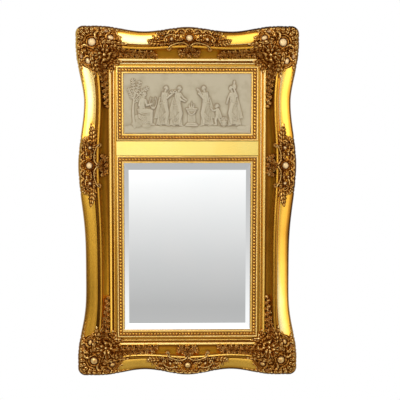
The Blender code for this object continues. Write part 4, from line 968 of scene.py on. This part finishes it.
class Frieze(Relief):
    """Relief shapes for figures."""

    def at(self, x, y, facing=1):
        """The same drawing, measured from a figure's feet and turned the way it faces."""
        return self.seen((self.x - x) * facing, self.y - y)

    def limb(self, first, last, lift=0.0):
        """A rounded, tapering limb between two (x, y, radius) joints."""
        ax, ay, ar = first
        bx, by, br = last
        dx, dy = bx - ax, by - ay
        reach = max(ar, br)

        def form(x, y):
            run = np.clip(((x - ax) * dx + (y - ay) * dy) / max(dx * dx + dy * dy, 1e-6), 0, 1)
            radius = ar + (br - ar) * run
            rest = 1 - ((x - ax - run * dx) ** 2 + (y - ay - run * dy) ** 2) / radius ** 2
            depth = (0.30 + 0.042 * radius) * np.sqrt(np.clip(rest, 0, None)) + lift
            return np.where(rest > 0, depth, NOTHING)
        low = (min(ax, bx) - reach, min(ay, by) - reach)
        self.add(low, (max(ax, bx) + reach, max(ay, by) + reach), form)

    def chain(self, joints, lift=0.0):
        for first, last in zip(joints, joints[1:]):
            self.limb(first, last, lift)

    def cloth(self, top, bottom, pleats, lift=0.0, depth=0.55):
        """Pleated cloth between a (x, y, half width) at its top and one at its hem."""
        tx, ty, tw = top
        bx, by, bw = bottom

        def form(x, y):
            run = (y - ty) / (by - ty)
            half = tw + (bw - tw) * unit(run) ** 0.8
            across = (x - tx - (bx - tx) * run) / half
            fold = np.abs(np.cos(pi * pleats * (across * 0.5 + 0.12 * np.sin(3 * run))))
            body = np.sqrt(np.clip(1 - across ** 2, 0, None)) * depth * (0.50 + 0.50 * fold)
            hem = 1.0 + 0.025 * np.cos(pi * pleats * across)
            inside = (run > 0) & (run < hem) & (np.abs(across) < 1)
            return np.where(inside, body + lift, NOTHING)
        reach = max(tw, bw) + abs(bx - tx)
        self.add((min(tx, bx) - reach, by - 3), (max(tx, bx) + reach, ty), form)

    def folds(self, first, last, sag, count, width, height):
        """Folds that hang side by side from `first` to `last`, each a little lower."""
        for index in range(count):
            drop = index * width * 1.9
            start = (first[0], first[1] - drop)
            end = (last[0], last[1] - drop * 0.8)
            bend = ((start[0] + end[0]) / 2, (start[1] + end[1]) / 2 - sag - drop * 0.4)
            self.ridge(curve(start, bend, end, 7), width, height, 0.25, 0.0)

    def head(self, cx, cy):
        """A head in profile: skull, jaw, nose, and hair in waves with a knot behind."""
        self.dome(cx, cy, 4.8, 5.8, 0.8)
        self.dome(cx + 1.5, cy - 2.0, 3.5, 4.2, 0.72)
        self.dome(cx + 4.2, cy - 0.6, 1.3, 1.7, 0.6)
        self.dome(cx - 1.8, cy + 1.6, 4.9, 4.8, 0.84)
        for index in range(6):
            turn = radians(30 + 34 * index)
            wave = (cx - 1.4 + 3.9 * cos(turn), cy + 1.6 + 3.8 * sin(turn))
            self.dome(*wave, 1.6, 1.6, 0.93)
        self.dome(cx - 6.0, cy + 0.2, 2.6, 2.2, 0.78)


def woman(r, near_arm, far_arm):
    """A woman in a long belted dress and a mantle, walking. Each arm is an elbow and a hand."""
    r.cloth((-9, 82, 4), (-21, 22, 8), 4, 0.05, 0.4)
    r.cloth((-2, 66, 8), (-13, 4, 10), 5, 0.05)
    r.cloth((1, 68, 9), (1, 4, 13), 8, 0.14)
    r.chain(((3, 62, 6.5), (9, 36, 5.6), (5, 10, 3.8)), 0.34)
    r.folds((9, 44), (-12, 22), 5, 4, 1.7, 0.86)
    r.limb((6, 4, 2.6), (14, 2, 1.9), 0.1)
    r.limb((-14, 4, 2.4), (-8, 2, 1.8), 0.05)
    r.chain(((7, 92, 3.6), *far_arm), 0.12)
    r.limb((0, 70, 7.5), (2, 88, 8.5), 0.22)
    r.dome(6.5, 86, 4.6, 5, 0.95)
    r.cloth((2, 94, 8.5), (0, 72, 8.5), 5, 0.46, 0.46)
    r.cloth((0, 74, 8.5), (0, 58, 11), 7, 0.30, 0.50)
    r.folds((8, 72), (-11, 66), 4, 2, 1.7, 0.95)
    r.folds((-5, 94), (-8, 72), -3, 2, 1.8, 0.9)
    r.limb((3, 95, 3.2), (5, 102, 3.2), 0.1)
    r.head(7, 107)
    r.chain(((-3, 90, 4.0), *near_arm), 0.42)


def lyre_player(r):
    """A seated figure on a rock, playing a lyre."""
    for x, y, size in ((-20, 4, 15), (-8, 14, 20), (8, 4, 16), (-16, 22, 12)):
        r.dome(x, y, size, size * 0.8, 0.42)
    r.cloth((-8, 46, 11), (10, 6, 17), 7, 0.15)
    r.chain(((-6, 42, 8.5), (20, 40, 6.5), (21, 10, 4.2)), 0.35)
    r.cloth((11, 43, 8), (17, 12, 9), 5, 0.40, 0.5)
    r.folds((-14, 46), (18, 42), 7, 3, 2.0, 1.0)
    r.folds((-14, 32), (14, 26), 9, 3, 2.0, 0.8)
    r.limb((-6, 50, 8), (-3, 70, 9), 0.25)
    r.folds((-10, 74), (2, 54), -4, 2, 1.9, 0.95)
    r.limb((-1, 76, 3.2), (1, 84, 3.2), 0.1)
    r.head(3, 89)
    r.chain(((5, 71, 3.6), (9, 57, 3.0), (24, 62, 2.2)), 0.45)
    for side in (-1, 1):
        r.ridge(((27 + 3 * side, 50), (27 + 14 * side, 62), (27 + 6 * side, 80)), 1.6, 0.8, 0.2, 0.0)
    for string in (24.6, 27, 29.4):
        r.limb((string, 54, 0.7), (string, 75, 0.7), 0.1)
    r.limb((20, 75, 1.3), (34, 75, 1.3), 0.3)
    r.dome(27, 50, 6, 4.4, 0.95)
    r.chain(((-9, 71, 3.6), (-13, 57, 3.0), (2, 50, 2.2)), 0.5)
    r.limb((20, 5, 3.0), (29, 3, 2.0), 0.1)


def fire_altar(r):
    """A round altar with a garland and a flame."""
    r.cloth((0, 46, 10.5), (0, 6, 11.5), 9, 0.05, 0.45)
    for height, half, size in ((2, 15, 3.0), (7, 12.5, 1.8), (43, 12, 1.8), (48, 14.5, 2.4)):
        r.limb((-half, height, size), (half, height, size), 0.35)
    r.folds((-10, 40), (10, 40), 16, 1, 2.6, 0.95)
    for lean, tall in ((-5, 13), (0, 21), (5, 14)):
        r.ridge(((lean * 0.6, 50), (lean * 1.8, 50 + tall * 0.5), (lean, 50 + tall)), 3.2, 0.6, 0.9)


def tree(r):
    """A slender tree, with leaves in loose sprays."""
    r.ridge(((0, 0), (-9, 50), (2, 98)), 4.2, 0.55, 0.55)
    for bend, tip in (((8, 74), (24, 86)), ((-6, 84), (-14, 104)), ((6, 100), (14, 124)),
                      ((16, 98), (34, 108)), ((-2, 110), (-4, 130))):
        branch = curve((-1, 66 + 0.3 * (tip[1] - 80)), bend, tip, 7)
        r.ridge(branch, 1.5, 0.45, 0.5, 0.0)
        for place in range(2, 7):
            ahead = branch[place] - branch[place - 1]
            lean = degrees(atan2(ahead[1], ahead[0]))
            for turn in (-55, 5, 60):
                r.leaf(ray(*branch[place], lean + turn, 0, 8), 2.4, 0.55, 1)


def fruit_basket(r):
    """A basket heaped with fruit."""
    r.limb((0, 4, 7), (0, 10, 8.5), 0.1)
    for band in (2, 7, 12):
        r.limb((-8, band, 1.1), (8, band, 1.1), 0.5)
    for index in range(7):
        row = index // 4
        r.dome(5.2 * (index % 4) + 2.6 * row - 8, 17 + 4 * row, 2.9, 2.9, 0.8)


def child(r):
    """A small child who steps forward with a short tunic blown back."""
    r.chain(((-1, 28, 4.6), (-7, 15, 3.6), (-12, 4, 2.4)), 0.05)
    r.chain(((1, 28, 4.8), (6, 16, 3.8), (4, 4, 2.5)), 0.2)
    r.limb((4, 3, 2.2), (10, 2, 1.6), 0.1)
    r.cloth((0, 44, 6), (-3, 22, 10), 6, 0.25, 0.5)
    r.limb((0, 34, 5.6), (1, 44, 6), 0.25)
    r.head(3, 55)
    r.chain(((4, 44, 2.8), (12, 42, 2.4), (19, 49, 1.9)), 0.35)


def plaque_scene(x, y):
    """Every figure of the relief over the points, as a share of the relief's depth."""
    r = Frieze(x, y)
    ground_line = -62 + 3 * np.sin(x / 27) + 1.5 * np.sin(x / 9)
    rise = 0.30 * np.sqrt(np.clip((ground_line - y) / 12, 0, 1))
    r.height = np.where(y < ground_line, rise, NOTHING)
    for index in range(13):
        r.dome(-158 + 26 * index, -70 - 4 * (index % 3), 16 + 5 * (index % 4), 8, 0.36)
    tree(r.at(-150, -66))
    lyre_player(r.at(-124, -62))
    woman(r.at(-66, -63), ((8, 79, 3.2), (22, 90, 2.4)), ((16, 84, 2.8), (26, 92, 2.2)))
    r.limb((-49, 31, 1.6), (-29, 31, 1.6), 0.5)
    for index in range(5):
        r.dome(-47 + 4 * index, 34 + 2.2 * (index % 2), 2.6, 2.6, 0.9)
    woman(r.at(-28, -64), ((9, 76, 3.2), (21, 70, 2.4)), ((16, 80, 2.8), (26, 74, 2.2)))
    fire_altar(r.at(12, -63))
    woman(r.at(52, -63, -1), ((6, 78, 3.2), (20, 92, 2.4)), ((15, 92, 2.8), (24, 104, 2.2)))
    r.folds((32, 40), (62, 14), 20, 1, 2.4, 0.95)
    child(r.at(86, -62, -1))
    fruit_basket(r.at(104, -62))
    woman(r.at(130, -63, -1), ((-10, 84, 3.4), (-2, 106, 2.4)), ((14, 78, 2.8), (18, 64, 2.2)))
    r.dome(133, 48, 6.5, 8.5, 0.95)
    r.limb((133, 56, 2.2), (133, 62, 3.0), 0.3)
    return r.height


def plaque_places(half, inner):
    """Places across the plaque: its edge twice, for front and back, and the relief between."""
    count = ceil(2 * inner / PLAQUE_PITCH)
    return np.concatenate([(-half, -half), np.linspace(-inner, inner, count + 1), (half, half)])


def carved_plaque(finish):
    inner_x = HALF_SIGHT - RELIEF_INSET
    inner_z = PLAQUE_SIGHT_HEIGHT / 2 - RELIEF_INSET
    across = plaque_places(HALF_SIGHT + LAP, inner_x)
    up = plaque_places(PLAQUE_SIGHT_HEIGHT / 2 + LAP, inner_z)
    x, z = np.meshgrid(across, up, indexing="ij")
    margin = np.minimum(inner_x - np.abs(x), inner_z - np.abs(z))
    relief = np.clip(plaque_scene(x * MM, z * MM), 0, None) * unit(margin / RELIEF_FADE)
    height = PLATE_BACK + PLAQUE_THICKNESS + RELIEF_DEPTH * relief
    tone = hollow_tone(height)
    height[[0, -1]] = PLATE_BACK
    height[:, [0, -1]] = PLATE_BACK
    index = np.arange(x.size).reshape(x.shape)
    rim = np.concatenate([index[:, 0], index[-1, 1:], index[-2::-1, -1], index[0, -2:0:-1]])
    faces = grid_faces(index).tolist() + [rim[::-1].tolist()]
    points = world(x, height, z + PLAQUE_Z).reshape(-1, 3).tolist()
    made = add_mesh("relief_plaque_carved", points, faces, finish, sharp_angle=60)
    point_values(made, "tone", tone)
    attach(made, "root")
    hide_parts("relief_plaque")


# Finishes

class Nodes:
    """Short ways to add and link shader nodes. A value is a plain one or another node's output."""

    def __init__(self, tree, target):
        self.tree = tree
        self.target = tree.nodes[target]

    def feed(self, value, socket):
        if isinstance(value, bpy.types.NodeSocket):
            self.tree.links.new(value, socket)
        elif isinstance(value, tuple) and len(value) < len(socket.default_value):
            socket.default_value = (*value, 1.0)
        else:
            socket.default_value = value

    def set(self, name, value):
        self.feed(value, self.target.inputs[name])

    def add(self, kind, inputs, out=0, **settings):
        """Adds a node with values for some of its inputs, and gives back one of its outputs."""
        node = self.tree.nodes.new(kind)
        for name, value in settings.items():
            setattr(node, name, value)
        for socket, value in inputs.items():
            self.feed(value, node.inputs[socket])
        return node.outputs[out]

    def math(self, operation, first, second=0.0, clamp=False):
        return self.add("ShaderNodeMath", {0: first, 1: second}, operation=operation, use_clamp=clamp)

    def mix(self, share, first, second):
        """A number between two numbers."""
        return self.add("ShaderNodeMix", {0: share, 2: first, 3: second}, data_type="FLOAT")

    def mix_colour(self, share, first, second):
        return self.add("ShaderNodeMix", {0: share, 6: first, 7: second}, 2, data_type="RGBA")

    def ramp(self, value, stops):
        shade = self.add("ShaderNodeValToRGB", {0: value})
        elements = shade.node.color_ramp.elements
        while len(elements) < len(stops):
            elements.new(0.5)
        for element, (place, colour) in zip(elements, stops):
            element.position = place
            element.color = (*colour, 1.0)
        return shade

    def noise(self, scale, detail=3.0, stretch=(1, 1, 1)):
        place = self.add("ShaderNodeTexCoord", {}, "Object")
        place = self.add("ShaderNodeMapping", {"Vector": place, "Scale": stretch})
        return self.add("ShaderNodeTexNoise", {"Vector": place, "Scale": scale, "Detail": detail})

    def attribute(self, name):
        return self.add("ShaderNodeAttribute", {}, "Fac", attribute_name=name)

    def clouded(self, value, scale, detail, strength):
        """A value from 0 to 1, made uneven by noise."""
        cloud = self.math("SUBTRACT", self.noise(scale, detail), 0.5)
        return self.math("ADD", value, self.math("MULTIPLY", cloud, strength), True)


def new_finish(name):
    made = bpy.data.materials.new(name)
    made.use_nodes = True
    return made, Nodes(made.node_tree, "Principled BSDF")


def patchy_finish(name, noise, stops, **plain):
    """A finish whose colour drifts between the stops, with other values plain."""
    made, n = new_finish(name)
    n.set("Base Color", n.ramp(n.noise(*noise), stops))
    for socket, value in plain.items():
        n.set(socket, value)
    return made


# Colours by tone; their pale tops show the painted highlights that the tones carry.
GOLD = (
    (0.00, (0.035, 0.010, 0.001)),
    (0.22, (0.19, 0.066, 0.003)),
    (0.42, (0.47, 0.208, 0.012)),
    (0.62, (0.78, 0.400, 0.026)),
    (0.82, (1.00, 0.560, 0.045)),
    (1.00, (1.00, 0.780, 0.320)),
)
BRONZE = (
    (0.00, (0.100, 0.022, 0.0005)),
    (0.22, (0.20, 0.060, 0.006)),
    (0.45, (0.36, 0.126, 0.017)),
    (0.70, (0.66, 0.320, 0.055)),
    (1.00, (1.00, 0.720, 0.280)),
)
PLASTER = (
    (0.03, (0.32, 0.25, 0.15)),
    (0.22, (0.515, 0.445, 0.305)),
    (0.80, (0.60, 0.52, 0.38)),
)
RAIL_GOLD = ((0.3, (0.98, 0.68, 0.10)), (0.7, (1.0, 0.74, 0.14)))
SILVER = ((0.3, (0.93, 0.945, 0.945)), (0.7, (0.95, 0.955, 0.95)))
BROWN_BOARD = ((0.30, (0.20, 0.125, 0.065)), (0.55, (0.31, 0.205, 0.115)), (0.75, (0.40, 0.28, 0.17)))
PALE_FLOOR = ((0.3, (0.62, 0.62, 0.61)), (0.7, (0.66, 0.66, 0.65)))
# Cream of the cabochons' painted sheen.
CREAM = (1.0, 0.71, 0.36)
WARM_EDGE = (1.0, 0.72, 0.40)
WHITE = (1.0, 1.0, 1.0)
BARE_WOOD = (0.30, 0.19, 0.10)
COAT_ROUGHNESS = 0.16
COAT_IOR = 1.8


def clear_coat(n, weight):
    n.set("Coat Weight", weight)
    n.set("Coat Roughness", COAT_ROUGHNESS)
    n.set("Coat IOR", COAT_IOR)


def gilding():
    """Leaf over carved gesso: brown patina in its hollows, pale on its crests from wear and
    painted highlight, cream on its cabochons as a painted sheen, and burnished on the plain bands."""
    made, n = new_finish("aged_gilding")
    burnish, pale, bare, satin = (n.attribute(name) for name in ("burnish", "pale", "bare", "satin"))
    grain = n.math("SUBTRACT", n.noise(420, 4), 0.5)
    tone = n.math("ADD", n.attribute("tone"), n.math("MULTIPLY", grain, n.mix(burnish, 0.50, 0.06)))
    tone = n.clouded(tone, 26, 3, n.mix(burnish, 0.22, 0.08))
    colour = n.mix_colour(burnish, n.ramp(tone, BRONZE), n.ramp(tone, GOLD))
    # Cream and less metallic where pale: a painted sheen on the cabochons.
    n.set("Base Color", n.mix_colour(bare, n.mix_colour(pale, colour, CREAM), BARE_WOOD))
    n.set("Specular Tint", n.mix_colour(burnish, WARM_EDGE, WHITE))
    n.set("Metallic", n.mix(bare, n.mix(pale, 0.96, 0.15), 0.0))
    rough = n.mix(burnish, n.mix(tone, 0.52, 0.34), n.mix(satin, 0.23, 0.46))
    n.set("Roughness", n.mix(bare, rough, 0.9))
    polish = n.math("MULTIPLY", n.math("SUBTRACT", burnish, satin), n.math("POWER", tone, 2.5))
    clear_coat(n, n.mix(bare, polish, 0.0))
    return made


def bright_gilding():
    """Burnished leaf on the slips."""
    made, n = new_finish("burnished_gilding")
    tone = n.clouded(n.attribute("tone"), 30, 3, 0.14)
    n.set("Base Color", n.ramp(tone, GOLD))
    n.set("Roughness", n.mix(tone, 0.36, 0.22))
    n.set("Metallic", 1.0)
    clear_coat(n, tone)
    return made


def rail_gilding():
    """The same leaf on the flat rail, with faint clouds."""
    made, n = new_finish("rail_gilding")
    cloud = n.noise(22, 3)
    n.set("Base Color", n.ramp(cloud, RAIL_GOLD))
    n.set("Roughness", n.mix(cloud, 0.20, 0.28))
    n.set("Metallic", 1.0)
    clear_coat(n, 1.0)
    return made


def plaster():
    """Cast plaster with yellowed hollows."""
    made, n = new_finish("aged_plaster")
    n.set("Base Color", n.ramp(n.clouded(n.attribute("tone"), 34, 4, 0.30), PLASTER))
    n.set("Roughness", 0.62)
    return made


def silvering():
    """Mirror glass with the faintest unevenness in its silver."""
    return patchy_finish("silvered_glass", (7, 2), SILVER, Metallic=1.0, Roughness=0.015)


def board():
    """Thin brown board with upright grain."""
    return patchy_finish("brown_board", (60, 5, (1, 1, 0.06)), BROWN_BOARD, Roughness=0.85)


def floor_paint():
    return patchy_finish("pale_floor", (3, 2), PALE_FLOOR, Roughness=0.8)


# Room light, as the mirror and the gold see it. Directions to the front are given by how far
# they run to the right and up for each metre forward. Each row is a height and its level;
# straight ahead that is one level to the left and one to the right.

AHEAD_UP = (
    (-0.60, 0.55, 0.55), (-0.50, 1.40, 1.40), (-0.36, 1.60, 1.60), (-0.25, 0.60, 0.60),
    (-0.19, 0.50, 0.50), (-0.137, 0.66, 0.66), (-0.094, 0.83, 0.83), (-0.039, 1.10, 1.05),
    (-0.015, 2.20, 1.10), (0.08, 2.20, 1.00), (0.13, 0.50, 0.50), (0.20, 0.50, 0.50),
    (0.27, 2.60, 1.20), (0.45, 4.60, 1.80), (0.70, 3.00, 1.20), (0.90, 0.35, 0.35),
    (1.60, 0.20, 0.20),
)
BEVEL_UP = (
    (-0.60, 0.70), (-0.40, 1.00), (-0.21, 1.02), (-0.13, 0.72), (-0.045, 0.54), (0.15, 0.50),
    (0.30, 1.20), (0.70, 1.00), (0.90, 0.30), (1.60, 0.20),
)
LEFT_UP = ((-0.60, 0.16), (-0.12, 0.16), (-0.02, 2.80), (0.30, 3.40), (0.70, 1.60), (1.00, 0.30))
RIGHT_UP = ((-0.60, 1.60), (0.30, 1.90), (0.70, 1.20), (1.00, 0.30))
BETWEEN_LIGHT = 0.25
SIDE_LIGHT = 0.12
BACK_LIGHT = 0.55
RAMP_LOW = -0.6
RAMP_HIGH = 1.6
BRIGHTEST = 5.0


def room_light():
    room = bpy.data.worlds.new("room")
    room.use_nodes = True
    bpy.context.scene.world = room
    n = Nodes(room.node_tree, "Background")
    n.set("Color", WHITE)
    direction = n.add("ShaderNodeTexCoord", {}, "Generated")
    x, y, z = (n.add("ShaderNodeSeparateXYZ", {0: direction}, axis) for axis in range(3))
    forward = n.math("MAXIMUM", n.math("MULTIPLY", y, -1.0), 0.02)
    right = n.math("DIVIDE", x, forward)
    up = n.math("DIVIDE", z, forward)
    span = RAMP_HIGH - RAMP_LOW
    place = n.math("DIVIDE", n.math("SUBTRACT", up, RAMP_LOW), span, True)

    def level(rows, column=1):
        grey = [((row[0] - RAMP_LOW) / span, (row[column] / BRIGHTEST,) * 3) for row in rows]
        return n.math("MULTIPLY", n.ramp(place, grey), BRIGHTEST)

    def step(value, low, high):
        ends = {"Value": value, "From Min": low, "From Max": high}
        return n.add("ShaderNodeMapRange", ends, "Result", interpolation_type="SMOOTHSTEP")

    aside = n.math("ABSOLUTE", right)
    far = n.mix(step(right, -0.2, 0.2), level(LEFT_UP), level(RIGHT_UP))
    light = n.mix(step(right, -0.03, 0.08), level(AHEAD_UP), level(AHEAD_UP, 2))
    for low, high, beyond in (
        (0.12, 0.17, BETWEEN_LIGHT), (0.23, 0.26, level(BEVEL_UP)), (0.40, 0.44, far),
        (0.85, 1.25, SIDE_LIGHT),
    ):
        light = n.mix(step(aside, low, high), light, beyond)
    light = n.mix(step(y, -0.25, 0.05), light, BACK_LIGHT)
    seen = n.add("ShaderNodeLightPath", {}, "Is Camera Ray")
    n.set("Strength", n.mix(seen, light, 1.0))


def soft_light(name, place, size, power):
    data = bpy.data.lights.new(name, "AREA")
    data.size = size
    data.energy = power
    lamp = add_object(name, data)
    lamp.location = place
    lamp.rotation_euler = (Vector(LIGHT_AIM) - lamp.location).to_track_quat("-Z", "Y").to_euler()


# Camera, matched to the photo

CAMERA_DISTANCE = 2.6
CAMERA_ELEVATION = 4.0
CAMERA_AZIMUTH = -1.2
CAMERA_AIM = (0.0, -0.02, -0.4349)
CAMERA_LENS = 82.16
CAMERA_SHIFT = 0.0313
LIGHT_AIM = (0.0, 0.0, -0.4)
FLOOR_Z = -1.25
FLOOR_SPAN = ((-1.6, -0.9), (1.6, -0.9), (1.6, 0.6), (-1.6, 0.6))


def photo_camera():
    data = bpy.data.cameras.new("photo_camera")
    data.lens = CAMERA_LENS
    data.shift_x = CAMERA_SHIFT
    camera = add_object("photo_camera", data)
    turn, lift = radians(CAMERA_AZIMUTH), radians(CAMERA_ELEVATION)
    back = Vector((sin(turn) * cos(lift), -cos(turn) * cos(lift), sin(lift)))
    camera.location = Vector(CAMERA_AIM) + back * CAMERA_DISTANCE
    camera.rotation_euler = (-back).to_track_quat("-Z", "Y").to_euler()
    bpy.context.scene.camera = camera


def show_floor():
    points = [(x, y, FLOOR_Z) for x, y in FLOOR_SPAN]
    add_mesh("floor", points, [(0, 1, 2, 3)], floor_paint())


def dress_node(name, finish):
    """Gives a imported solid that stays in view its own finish."""
    node = bpy.data.objects[name]
    node.data.materials.clear()
    node.data.materials.append(finish)


aged_gold = gilding()
for rail_side in range(4):
    frame_rail(rail_side, aged_gold)
burnished_gold = bright_gilding()
beaded_slip("mirror_slip_beaded", "mirror_slip", MIRROR_SIGHT_HEIGHT, MIRROR_Z, burnished_gold)
beaded_slip("plaque_slip_beaded", "plaque_slip", PLAQUE_SIGHT_HEIGHT, PLAQUE_Z, burnished_gold)
carved_plaque(plaster())
dress_node("divider_rail", rail_gilding())
dress_node("mirror_glass", silvering())
dress_node("backboard", board())
show_floor()
room_light()
soft_light("key", (-1.6, -2.2, 1.4), 1.0, 22)
soft_light("fill", (1.8, -2.0, 0.4), 1.2, 5)
photo_camera()
bpy.context.scene.view_settings.view_transform = "Standard"
